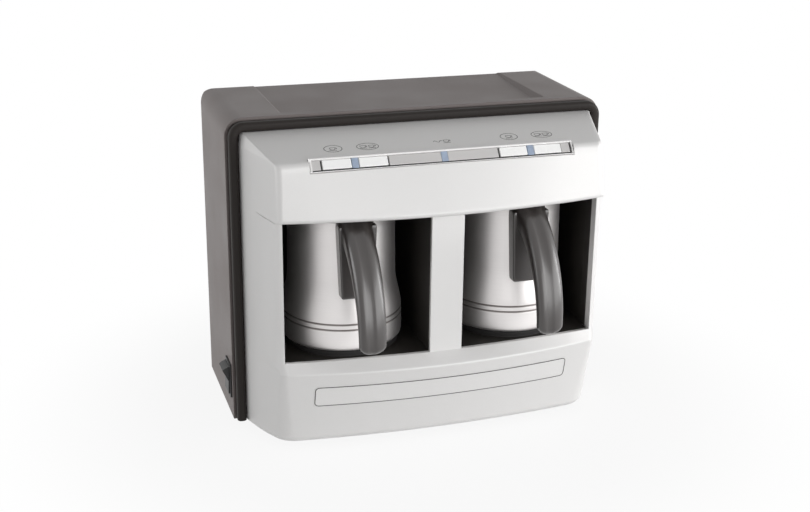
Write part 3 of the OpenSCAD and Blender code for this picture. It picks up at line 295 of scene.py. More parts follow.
class Nodes:
    """Adds and joins the nodes of one tree."""

    def __init__(self, tree: bpy.types.NodeTree) -> None:
        """Starts the tree with nothing in it."""
        self.tree = tree
        tree.nodes.clear()

    def add(self, kind: str, **values: object) -> bpy.types.Node:
        """Adds a node.

        Args:
            kind: Blender's name of the node type, without ShaderNode before it.
            values: Socket values, with spaces in names written as underscores.

        Returns:
            The new node.
        """
        node = self.tree.nodes.new(f"ShaderNode{kind}")
        for key, value in values.items():
            node.inputs[key.replace("_", " ")].default_value = value
        return node

    def join(self, source: Socket, target: bpy.types.Node, into: str | int) -> None:
        """Joins an output socket to a node's input."""
        self.tree.links.new(source, target.inputs[into])

    def work_out(self, operation: str, *inputs: Socket | float, kind: str = "Math",
                 out: str | int = 0) -> Socket:
        """Works a value out from others.

        Args:
            operation: Blender's name of the operation.
            inputs: Sockets and numbers that it works on, in order.
            kind: Math for numbers, VectorMath for colours and places.
            out: Output with the result.

        Returns:
            The socket with the result.
        """
        node = self.add(kind)
        node.operation = operation
        for into, value in enumerate(inputs):
            if isinstance(value, float):
                node.inputs[into].default_value = value
            else:
                self.join(value, node, into)
        return node.outputs[out]

    def seen_white(self) -> Socket:
        """Gives 1 for rays that see the white background, and 0 for diffuse light."""
        rays = self.add("LightPath").outputs
        seen = rays["Is Camera Ray"]
        for ray in ("Is Glossy Ray", "Is Transmission Ray"):
            seen = self.work_out("MAXIMUM", seen, rays[ray])
        return seen

    def blend(self, share: Socket, first: Socket, second: Socket,
              output: bpy.types.Node) -> None:
        """Blends two shaders by a share and puts them out."""
        mix = self.add("MixShader")
        for into, source in enumerate((share, first, second)):
            self.join(source, mix, into)
        self.join(mix.outputs[0], output, "Surface")


class Wiring(Nodes):
    """Adds and joins the nodes of one material."""

    def __init__(self, name: str, **values: object) -> None:
        """Starts a material with its output and its shader, which takes the values."""
        self.material = bpy.data.materials.new(name)
        self.material.use_nodes = True
        super().__init__(self.material.node_tree)
        self.output = self.add("OutputMaterial")
        self.shader = self.add("BsdfPrincipled", **values)
        self.join(self.shader.outputs["BSDF"], self.output, "Surface")
        self.place = self.add("TexCoord").outputs["Object"]

    def noise(self, scale: float, detail: float = 3.0,
              stretch: Point = (1.0, 1.0, 1.0)) -> Socket:
        """Adds noise in object space.

        Args:
            scale: Grains per metre.
            detail: Octaves of the noise.
            stretch: Scale of each axis, for grain drawn out along one of them.

        Returns:
            The socket with the noise.
        """
        mapping = self.add("Mapping", Scale=stretch)
        self.join(self.place, mapping, "Vector")
        node = self.add("TexNoise", Scale=scale, Detail=detail)
        self.join(mapping.outputs["Vector"], node, "Vector")
        return node.outputs["Fac"]

    def spread(self, source: Socket, low: float, high: float, start: float = 0.3,
               end: float = 0.7) -> Socket:
        """Maps a value's usual range to another range.

        Args:
            source: Gives the value.
            low, high: Results at start and end.
            start, end: Part of the source's range that is used.

        Returns:
            The socket with the result.
        """
        node = self.add("MapRange", From_Min=start, From_Max=end, To_Min=low, To_Max=high)
        self.join(source, node, "Value")
        return node.outputs["Result"]

    def ramp(self, source: Socket, *stops: tuple[float, Colour]) -> Socket:
        """Puts a colour ramp over a value, from places from 0 to 1 with their colours."""
        node = self.add("ValToRGB")
        for step, (place, colour) in zip(node.color_ramp.elements, stops):
            step.position = place
            step.color = colour
        self.join(source, node, "Fac")
        return node.outputs["Color"]

    def tint(self, source: Socket, colour: Colour, dark: float, light: float,
             start: float = 0.3, end: float = 0.7) -> Socket:
        """Varies a colour with a value.

        Args:
            source: Gives the value.
            colour: The colour.
            dark, light: Shares of the colour at start and end.
            start, end: Part of the source's range that is used.

        Returns:
            The socket with the colour.
        """
        return self.ramp(source, (start, shaded(colour, dark)), (end, shaded(colour, light)))

    def surface(self, tint: Socket, source: Socket, dull: float, less: float,
                more: float) -> None:
        """Gives the shader its colour and an uneven sheen.

        Args:
            tint: Gives the colour.
            source: Varies the sheen.
            dull: The surface's roughness.
            less, more: How far the roughness goes below and above that.
        """
        self.join(tint, self.shader, "Base Color")
        self.join(self.spread(source, dull - less, dull + more), self.shader, "Roughness")

    def relief(self, source: Socket, depth: float, edge: float = 0.0) -> None:
        """Adds bump to the shader, over edges rounded in shading.

        Args:
            source: Gives the height.
            depth: Height of the relief in metres.
            edge: Radius of the rounded edges in metres, or 0 for none.
        """
        node = self.add("Bump", Strength=1.0, Distance=depth)
        self.join(source, node, "Height")
        if edge > 0:
            round_edge = self.add("Bevel", Radius=edge)
            round_edge.samples = 6
            self.join(round_edge.outputs["Normal"], node, "Normal")
        self.join(node.outputs["Normal"], self.shader, "Normal")


@dataclass(frozen=True)
class MouldedPlastic:
    """Injection moulded plastic with fine spark grain and uneven sheen."""

    colour: Colour
    roughness: float = 0.45
    grain: float = 2600.0
    relief: float = 0.00006
    mottle: float = 0.06
    edge: float = 0.0006
    specular: float = 0.5
    coat: float = 0.0
    # Glow is painted light: it brightens a part that is no lamp
    glow: float = 0.0
    coat_roughness: float = 0.26
    patch: float = 24.0

    def build(self, name: str) -> bpy.types.Material:
        """Makes the material."""
        wiring = Wiring(name, Specular_IOR_Level=self.specular, Coat_Weight=self.coat,
                        Coat_Roughness=self.coat_roughness, Emission_Color=self.colour,
                        Emission_Strength=self.glow)
        grain = wiring.noise(self.grain, 2.0)
        patches = wiring.noise(self.patch, 4.0)
        tint = wiring.tint(patches, self.colour, 1 - self.mottle, 1 + self.mottle)
        wiring.surface(tint, patches, self.roughness, 0.05, 0.06)
        wiring.relief(grain, self.relief, self.edge)
        return wiring.material


@dataclass(frozen=True)
class SilverPaint:
    """Silver lacquer with fine metal flake under a clear coat."""

    colour: Colour
    metallic: float = 0.12
    roughness: float = 0.5
    coat: float = 0.0
    edge: float = 0.0008
    flake: float = 5200.0
    patch: float = 14.0
    coat_roughness: float = 0.3
    relief: float = 0.000018

    def build(self, name: str) -> bpy.types.Material:
        """Makes the material."""
        wiring = Wiring(name, Metallic=self.metallic, Coat_Weight=self.coat,
                        Coat_Roughness=self.coat_roughness)
        flake = wiring.noise(self.flake, 1.0)
        patches = wiring.noise(self.patch, 3.0)
        tint = wiring.tint(flake, self.colour, 0.955, 1.04, 0.3, 0.72)
        wiring.surface(tint, patches, self.roughness, 0.03, 0.04)
        wiring.relief(flake, self.relief, self.edge)
        return wiring.material


@dataclass(frozen=True)
class BrushedMetal:
    """Metal with fine turning or brushing lines and light handling marks."""

    colour: Colour
    roughness: float = 0.3
    lines: Point = (0.02, 0.02, 1.0)
    scale: float = 1400.0
    relief: float = 0.00001
    smudge: float = 0.05
    edge: float = 0.0004
    streak: float = 0.055
    # Heights of turned lines that get painted shade, how far the shade reaches from each, and its
    # colour
    turned: tuple[float, ...] = ()
    turned_reach: tuple[float, float] = (0.0003, 0.0011)
    turned_painted_shade: Colour = (0.42, 0.4, 0.39, 1.0)

    def build(self, name: str) -> bpy.types.Material:
        """Makes the material."""
        wiring = Wiring(name, Metallic=1.0)
        lines = wiring.noise(self.scale, 3.0, self.lines)
        smudges = wiring.noise(30.0, 4.0)
        tint = wiring.tint(lines, self.colour, 1 - self.streak, 1 + self.streak)
        if self.turned:
            tint = self.paint_shade_in_turned_lines(wiring, tint)
        wiring.surface(tint, smudges, self.roughness, self.smudge, self.smudge)
        wiring.relief(lines, self.relief, self.edge)
        return wiring.material

    def paint_shade_in_turned_lines(self, wiring: Wiring, tint: Socket) -> Socket:
        """Paints shade into the metal at its turned lines, darkest on each line and gone 1.1 mm
        away.

        Args:
            wiring: The material's nodes.
            tint: Gives the metal's colour.

        Returns:
            The socket with the colour to use.
        """
        place = wiring.add("SeparateXYZ")
        wiring.join(wiring.place, place, 0)
        for line in self.turned:
            off = wiring.work_out("SUBTRACT", place.outputs["Z"], line)
            away = wiring.spread(wiring.work_out("ABSOLUTE", off), 0.0, 1.0, *self.turned_reach)
            # Painted shade: the ramp darkens the colour towards the line's middle
            shade = wiring.ramp(away, (0.0, self.turned_painted_shade), (1.0, WHITE))
            tint = wiring.work_out("MULTIPLY", tint, shade, kind="VectorMath")
        return tint


@dataclass(frozen=True)
class Translucent:
    """Clear or tinted plastic that lets light through."""

    colour: Colour
    roughness: float = 0.2
    glow: float = 0.0
    transmission: float = 0.3
    cloud: float = 260.0
    relief: float = 0.00002

    def build(self, name: str) -> bpy.types.Material:
        """Makes the material."""
        wiring = Wiring(name, Transmission_Weight=self.transmission)
        cloud = wiring.noise(self.cloud, 3.0)
        tint = wiring.tint(cloud, self.colour, 0.9, 1.1)
        wiring.surface(tint, cloud, self.roughness, 0.04, 0.06)
        if self.glow > 0:
            wiring.join(tint, wiring.shader, "Emission Color")
            wiring.shader.inputs["Emission Strength"].default_value = self.glow
        wiring.relief(cloud, self.relief)
        return wiring.material


@dataclass(frozen=True)
class CircuitBoard:
    """Green solder mask with faint copper runs below it."""

    colour: Colour
    runs: float = 90.0
    gap: float = 0.03
    relief: float = 0.00004

    def build(self, name: str) -> bpy.types.Material:
        """Makes the material."""
        wiring = Wiring(name)
        runs = wiring.add("TexBrick", Scale=self.runs, Mortar_Size=self.gap)
        wiring.join(wiring.place, runs, "Vector")
        copper = runs.outputs["Fac"]
        tint = wiring.tint(copper, self.colour, 1.0, 1.7, 0.1, 0.9)
        wiring.surface(tint, wiring.noise(60.0), 0.25, 0.0, 0.17)
        wiring.relief(copper, self.relief)
        return wiring.material


@unique
class Finishes(Enum):
    """Every finish of the machine, named after the record's material slots."""

    CASING_DARK = MouldedPlastic(srgb(127, 119, 117), 0.5, 1500.0, 0.0001, 0.04, 0.0014, 0.3)
    BEAD_DARK = MouldedPlastic(srgb(44, 40, 38), 0.5, 2600.0, 0.00003, 0.05, 0.0006, 0.16)
    PANEL_SILVER = SilverPaint(srgb(232, 231, 230), 0.12, 0.48)
    BADGE_SILVER = SilverPaint(srgb(234, 233, 232), 0.2, 0.38, 0.2, 0.0003)
    BLACK_PLASTIC = MouldedPlastic(srgb(24, 24, 25), 0.38)
    LINER_BLACK = MouldedPlastic(srgb(34, 31, 28), 0.5, 1800.0)
    BASE_BLACK = MouldedPlastic(srgb(38, 37, 37), 0.55)
    FOOT_RUBBER = MouldedPlastic(srgb(26, 26, 26), 0.75, 900.0, 0.00015)
    SCREW_STEEL = BrushedMetal(srgb(190, 190, 192), 0.32)
    INSULATOR_CREAM = MouldedPlastic(srgb(226, 221, 205), 0.5)
    STRIP_CHROME = SilverPaint(srgb(243, 242, 241), 0.3, 0.25, 0.4, 0.0002)
    STRIP_GREY = SilverPaint(srgb(201, 199, 198), 0.3, 0.4, 0.1, 0.0003)
    LIGHT_BLUE = Translucent(srgb(166, 181, 203), 0.3, 0.05, 0.05)
    # The white caps get a faint painted glow, though nothing lights them
    BUTTON_WHITE = MouldedPlastic(srgb(253, 253, 252), 0.3, 3000.0, 0.00001, 0.01, 0.0005,
                                  0.5, 1.0, 0.1)
    BOARD_GREEN = CircuitBoard(srgb(30, 92, 52))
    LAMP_CLEAR = Translucent(srgb(222, 232, 240), 0.1, 0.0, 0.8)
    TERMINAL_BRASS = BrushedMetal(srgb(206, 172, 92), 0.28)
    SEAL_SILICONE = MouldedPlastic(srgb(34, 32, 31), 0.6, 900.0)
    PLATE_COATED = MouldedPlastic(srgb(44, 43, 43), 0.6, 1200.0, 0.00012, 0.06, 0.0006, 0.2)
    HEATER_STEEL = BrushedMetal(srgb(128, 124, 120), 0.4)
    ZINC_SHEET = BrushedMetal(srgb(188, 190, 194), 0.38)
    LENS_RED = Translucent(srgb(84, 14, 26), 0.12, 0.0, 0.5)
    RIBBON_GREY = MouldedPlastic(srgb(176, 176, 178), 0.5, 700.0)
    # The pots' two turned lines get painted shade, darker than the steel around them
    POT_STEEL = BrushedMetal(srgb(220, 217, 216), 0.5, (0.03, 0.03, 1.0), 1600.0, 0.000001,
                             0.02, 0.0, 0.014,
                             tuple((POT_Z + line) * MM for line in TURNED_LINES))
    INK_GREY = MouldedPlastic(srgb(66, 63, 62), 0.6, 2600.0, 0.00001, 0.03, 0.0)
    HANDLE_BAKELITE = MouldedPlastic(srgb(43, 37, 35), 0.42, 2200.0, 0.00002, 0.05, 0.0,
                                     0.5, 1.0)


class Workshop:
    """Holds the frame and the materials, and dresses pieces."""

    def __init__(self, frame: dict) -> None:
        self.frame = frame
        self.made: dict[Finishes, bpy.types.Material] = {}

    def material(self, finish: Finishes) -> bpy.types.Material:
        """Gives a finish's material, made once."""
        if finish not in self.made:
            self.made[finish] = finish.value.build(finish.name.lower())
        return self.made[finish]

    def dress(self, finish: Finishes, *nodes: str) -> None:
        """Puts a finish on CAD nodes.

        Args:
            finish: The finish.
            nodes: Names of the nodes.
        """
        for node in nodes:
            part = self.frame["nodes"][node]
            if not part.material_slots:
                part.data.materials.append(self.material(finish))
            for place in part.material_slots:
                place.material = self.material(finish)
            LOG.info("dressed %s in %s", node, finish.name.lower())


class Assembly:
    """A sub-assembly, with the finishes of those CAD nodes that show as they are."""

    coats: ClassVar[dict[Finishes, tuple[str, ...]]] = {}

    def build(self, shop: Workshop) -> None:
        """Puts the finishes on the nodes."""
        for finish, nodes in self.coats.items():
            shop.dress(finish, *nodes)


class Casing(Assembly):
    """Rear casing, bead, base plate, feet and the gland."""

    coats = {
        Finishes.CASING_DARK: ("rear_casing",),
        Finishes.BEAD_DARK: ("bead_frame",),
        Finishes.BASE_BLACK: ("base_plate",),
        Finishes.FOOT_RUBBER: ("rubber_feet", "cord_gland"),
        Finishes.SCREW_STEEL: ("casing_screws", "panel_screws", "cord_clamp_screws"),
        Finishes.INSULATOR_CREAM: ("cord_clamp", "terminal_block"),
    }


class MainsSwitch(Assembly):
    """Rocker switch in the casing's side."""

    coats = {
        Finishes.BLACK_PLASTIC: ("switch_body", "rocker_paddle"),
        Finishes.SCREW_STEEL: ("rocker_pin",),
        Finishes.TERMINAL_BRASS: ("switch_terminals",),
    }


class Niches(Assembly):
    """Black liners, hot plates and what heats and watches them."""

    coats = {
        Finishes.LINER_BLACK: ("niche_liner_left", "niche_liner_right"),
        Finishes.SEAL_SILICONE: ("plate_seals",),
        Finishes.PLATE_COATED: ("hot_plate_left", "hot_plate_right"),
        Finishes.HEATER_STEEL: ("heater_elements", "temperature_sensors"),
        Finishes.ZINC_SHEET: ("heater_clamps", "heat_trays"),
        Finishes.SCREW_STEEL: ("liner_screws", "tray_screws", "plate_nuts"),
        Finishes.INSULATOR_CREAM: ("thermal_fuses",),
        Finishes.BLACK_PLASTIC: ("foam_sensors",),
        Finishes.LENS_RED: ("foam_sensor_lenses",),
        Finishes.BOARD_GREEN: ("foam_sensor_boards",),
    }


class Electronics(Assembly):
    """Power board behind the niches and its ribbon cable."""

    coats = {
        Finishes.BOARD_GREEN: ("power_board",),
        Finishes.SCREW_STEEL: ("power_board_screws",),
        Finishes.BLACK_PLASTIC: ("power_parts",),
        Finishes.RIBBON_GREY: ("ribbon_cable",),
    }


@dataclass(frozen=True)
class Level:
    """One level line of the panel's skin.

    Its front lies reach ahead of the bead in the middle, and sag less than that at x_end,
    where a corner of a given radius leads to its side. edge and steps round it towards its
    neighbours, tie names the slot's edge that it follows, bulge curves its side outward,
    and post says that it bends round the outer posts instead.
    """

    z: float
    reach: float
    sag: float
    x_end: float
    corner: float
    edge: float = 0.0
    steps: int = 1
    tie: str = ""
    bulge: float = 0.0
    post: bool = False


@dataclass
class FrontPanel(Assembly):
    """Silver front with its two niches, and the bare badge plate."""

    coats = {Finishes.BADGE_SILVER: ("badge_plate",)}

    side_x: float = 147.9
    back_y: float = 1.0
    side_y: float = -2.0
    side_corner: float = 1.2
    side_shares: tuple[float, ...] = (0.2, 0.4, 0.6)
    top_corner: float = 4.4
    pillar_xs: tuple[float, ...] = (0.0, 4.4, 8.8)
    niche_in: float = 13.2
    front_xs: tuple[float, ...] = (22.5, 32.0, 42.0, 52.5, 63.5, 74.5, 85.5, 96.0)
    niche_out: float = 128.2
    floor_z: float = 80.5
    visor_z: float = 195.0
    pillar_back: float = -46.7
    return_depth: float = 3.0
    return_lip: float = 2.0
    slot_x: float = 106.5
    slot_half: float = 6.3
    slot_depth: float = 4.5
    slot_back: float = -50.0
    underside: Level = Level(7.0, 55.5, 8.3, 125.5, 18.0, bulge=2.0)
    chin: Level = Level(7.0, 59.3, 8.3, 127.2, 20.0, 1.5, 4, bulge=2.2)
    jaw: Level = Level(11.0, 63.5, 8.3, 129.1, 18.0, 7.0, 4, bulge=2.2)
    crease: Level = Level(72.2, 82.6, 15.2, 131.3, 8.0, 2.2, 5, bulge=0.6)
    ledge: Level = Level(80.5, 72.2, 8.8, 128.2, 0.0, post=True)
    lintel: Level = Level(195.0, 72.2, 8.8, 128.2, 0.0, post=True)
    visor: Level = Level(195.0, 84.7, 15.4, 132.2, 6.0, 3.0, 6)
    slot_low: Level = Level(232.1, 64.9, 0.0, 131.2, 4.0, tie="lower")
    brow: Level = Level(238.4, 61.5, 0.0, 131.0, 6.0, 6.0, 7)
    slot_high: Level = Level(239.9, 54.3, 0.0, 132.7, 3.5, tie="upper")
    crown: Level = Level(250.4, 3.0, 0.0, 144.9, 2.0, 1.6, 4)
    top_back: Level = Level(250.4, -1.0, 0.0, 144.9, 0.0)
    post_bend: Plan = (137.6, -61.9)
    wall: float = 0.8
    lip_depth: float = 8.7
    lip_thick: float = 0.35
    lip_over: float = 0.3
    lip_back: float = 0.6
    badge_half: Plan = (105.5, 8.5)
    badge_corner: float = 3.0
    badge_z: float = 51.2
    badge_line: tuple[Plan, ...] = ((-0.1, 0.1), (-0.1, 0.34), (0.45, 0.34), (0.45, 0.1))

    def columns(self, level: Level) -> list[float]:
        """Places along X of a level's front points, from its middle to its end."""
        last = self.slot_x + (level.x_end - self.slot_x) * 0.2
        return [*self.pillar_xs, self.niche_in, *self.front_xs, self.slot_x, last]

    def heights(self) -> list[float]:
        """Heights of the points up the niches' sides."""
        return [self.floor_z + (self.visor_z - self.floor_z) * i / 6 for i in range(7)]

    def front_y(self, level: Level, x: float) -> float:
        """Place along Y of a level's front at a place along X."""
        return level.sag * (x / level.x_end) ** 2 - level.reach

    def flank(self, level: Level, share: float, z: float) -> Vector:
        """Point at a share of the way along a level's side, set to a height."""
        end_y = self.front_y(level, level.x_end)
        out = level.bulge * 4 * share * (1 - share)
        return Vector((self.side_x + (level.x_end - self.side_x) * share + out,
                       self.side_y + (end_y - self.side_y) * share, z))

    def line(self, level: Level) -> list[Vector]:
        """Gives one level's points, from the left rear edge to the right one.

        Args:
            level: The level.

        Returns:
            Points with the corners rounded, always the same number.
        """
        side = [Vector((self.side_x, y, level.z)) for y in (self.back_y, self.side_y)]
        if level.post:
            bend = self.post_curve(level)
            radii, steps = [0.0] * len(bend), [1] * len(bend)
        else:
            end = Vector((level.x_end, self.front_y(level, level.x_end), level.z))
            bend = [self.flank(level, share, level.z) for share in self.side_shares] + [end]
            radii, steps = [0.0, 0.0, 0.0, level.corner], [1, 1, 1, 9]
        front = [Vector((x, self.front_y(level, x), level.z))
                 for x in reversed(self.columns(level))]
        line = rounded(side + bend + front,
                       [0.0, self.side_corner] + radii + [0.0] * len(front),
                       [1, 4] + steps + [1] * len(front))
        left = [Vector((-p.x, p.y, p.z)) for p in line]
        return left + line[-2::-1]

    def post_curve(self, level: Level) -> list[Vector]:
        """Bends a post's plan from the visor's side round to the niche's edge.

        Args:
            level: The post's level.

        Returns:
            Twelve points, as many as another level has from its side to its corner.
        """
        flush = [self.flank(self.visor, share, level.z) for share in self.side_shares[:2]]
        bend = Vector((*self.post_bend, level.z))
        edge = Vector((self.niche_out, self.front_y(level, self.niche_out), level.z))
        curve = [flush[1] * (1 - t) ** 2 + bend * 2 * t * (1 - t) + edge * t ** 2
                 for t in (i / 10 for i in range(1, 11))]
        return flush + curve

    def skin(self, levels: list[Level]) -> tuple[list[list[Vector]], dict[str, int]]:
        """Rounds a stack of levels from one to the next.

        Args:
            levels: The levels from the lowest up.

        Returns:
            Rows of points, and the row at which each tied level starts.
        """
        lines = [self.line(level) for level in levels]
        for level, line in zip(levels, lines):
            if level.tie:
                self.tie_to_slot(level, line, lines)
        columns = [rounded(list(column), [level.edge for level in levels],
                           [level.steps for level in levels]) for column in zip(*lines)]
        starts, place = {}, 0
        for number, level in enumerate(levels):
            if level.tie:
                starts[level.tie] = place
            place += level.steps if 0 < number < len(levels) - 1 else 1
        return [list(row) for row in zip(*columns)], starts

    def tie_to_slot(self, level: Level, line: list[Vector], lines: list[list[Vector]]) -> None:
        """Moves a level's points onto the control strip's slot.

        Args:
            level: The level, tied to the slot's lower or upper edge.
            line: Its points, which are moved.
            lines: The visor's lines, with its lower edge, brow and crown at 1, 3 and 5.
        """
        upper = level.tie == "upper"
        edge = STRIP_MIDDLE + STRIP_UP * (self.slot_half if upper else -self.slot_half)
        starts, ends = (lines[3], lines[5]) if upper else (lines[1], lines[3])
        shares = []
        for start, end in zip(starts, ends):
            along = end - start
            # The edge's line meets the face's line in the YZ plane
            det = along.y * -STRIP_OUT.z + STRIP_OUT.y * along.z
            dy, dz = edge.y - start.y, edge.z - start.z
            held = abs(start.x) < self.slot_x + SLACK
            shares.append((dy * -STRIP_OUT.z + STRIP_OUT.y * dz) / det if held else None)
        outer = next(share for share in shares if share is not None)
        for point, start, end, share in zip(line, starts, ends, shares):
            point.xyz = start + (end - start) * (outer if share is None else share)

    def surface_y(self, x: float, z: float) -> float:
        """Place along Y of the base's front face."""
        share = (z - self.jaw.z) / (self.crease.z - self.jaw.z)
        low, high = (self.front_y(level, x) for level in (self.jaw, self.crease))
        return low + (high - low) * share

    def build(self, shop: Workshop) -> None:
        """Makes the panel's skin with the walls of its openings, and the trim on it."""
        super().build(shop)
        form = Form()
        base, _ = self.skin([self.underside, self.chin, self.jaw, self.crease, self.ledge])
        form.grid(base)
        visor, starts = self.skin([self.lintel, self.visor, self.slot_low, self.brow,
                                   self.slot_high, self.crown, self.top_back])
        self.round_top(visor)
        form.grid(visor, keep=lambda p: not self.in_slot(p))
        self.add_pillars(form, base[-1])
        self.add_niche_walls(form, base[-1])
        self.add_slot_walls(form, visor, starts)
        form.finish("front_panel_skin", shop, Finishes.PANEL_SILVER, "front_panel",
                    wall=self.wall)
        self.build_badge_edge(shop)
        self.build_lips(shop)

    def in_slot(self, point: Vector) -> bool:
        """Says whether a point of the visor lies in the strip's slot."""
        tall = abs((point - STRIP_MIDDLE).dot(STRIP_UP))
        return tall < self.slot_half and abs(point.x) < self.slot_x and point.y < self.slot_back

    def round_top(self, rows: list[list[Vector]]) -> None:
        """Rounds the panel's upper outer corners to fit the bead."""
        centre_x, centre_z = self.side_x - self.top_corner, self.crown.z - self.top_corner
        for row in rows:
            for point in row:
                dx, dz = abs(point.x) - centre_x, point.z - centre_z
                far = math.hypot(dx, dz)
                if dx > 0 and dz > 0 and far > self.top_corner:
                    share = self.top_corner / far
                    point.x = math.copysign(centre_x + dx * share, point.x)
                    point.z = centre_z + dz * share

    def add_pillars(self, form: Form, foot: list[Vector]) -> None:
        """Adds the centre pillar and the side bands beside the niches."""
        rows = [[Vector((p.x, p.y, z)) for p in foot] for z in self.heights()]
        end = next(i for i, p in enumerate(foot) if p.x > -self.niche_out - SLACK
                   and p.y < self.pillar_back)
        middle, half = len(foot) // 2, len(self.pillar_xs)
        form.grid([row[:end + 1] for row in rows])
        form.grid([row[-end - 1:] for row in rows])
        form.grid([row[middle - half:middle + half + 1] for row in rows])

    def add_niche_walls(self, form: Form, foot: list[Vector]) -> None:
        """Adds the silver walls that lead into the niches."""
        back = Vector((0.0, self.return_depth, 0.0))
        deep = self.pillar_back - self.front_y(self.ledge, self.niche_out)
        for side in (-1, 1):
            sill = [p for p in foot if p.y < self.pillar_back
                    and self.niche_in - SLACK < side * p.x < self.niche_out + SLACK]
            for z, lip in ((self.floor_z, -self.return_lip), (self.visor_z, self.return_lip)):
                form.strip([Vector((p.x, p.y, z)) for p in sill], back, Vector((0.0, 0.0, lip)))
            for x, depth in ((self.niche_in, self.return_depth), (self.niche_out, deep)):
                y = self.front_y(self.ledge, x)
                form.strip([Vector((side * x, y, z)) for z in self.heights()],
                           Vector((0.0, depth, 0.0)))

    def add_slot_walls(self, form: Form, visor: list[list[Vector]],
                       starts: dict[str, int]) -> None:
        """Adds the walls of the strip's slot.

        Args:
            form: Takes the faces.
            visor: The visor's rows of points.
            starts: The rows at the slot's lower and upper edge.
        """
        inward = STRIP_OUT * -self.slot_depth
        lower, upper = starts["lower"], starts["upper"]
        inside = [i for i, p in enumerate(visor[lower]) if abs(p.x) < self.slot_x + SLACK]
        for row in (visor[lower], visor[upper]):
            form.strip([row[i] for i in inside], inward)
        for i in (inside[0], inside[-1]):
            form.strip([row[i] for row in visor[lower:upper + 1]], inward)

    def build_lips(self, shop: Workshop) -> None:
        """Makes thin black strips over the back part of the outer posts' returns, leading into the
        niches.
        """
        form = Form()
        for side in (-1, 1):
            inner, outer = sorted((side * (self.niche_out - self.lip_thick),
                                   side * self.niche_out))
            form.box((inner, self.pillar_back - self.lip_depth, self.floor_z - self.lip_over),
                     (outer, self.pillar_back + self.lip_back, self.visor_z + self.lip_over))
        form.finish("liner_lips", shop, Finishes.LINER_BLACK, bevel=0.15)

    def build_badge_edge(self, shop: Workshop) -> None:
        """Makes the fine dark line round the bare badge plate."""
        half_x, half_z = self.badge_half
        form = Form()
        form.loop([[Vector((x, self.surface_y(x, self.badge_z + z) - lift, self.badge_z + z))
                    for x, z in round_loop(half_x + grow, half_z + grow,
                                           self.badge_corner + grow)]
                   for grow, lift in self.badge_line])
        form.finish("badge_edge", shop, Finishes.INK_GREY)


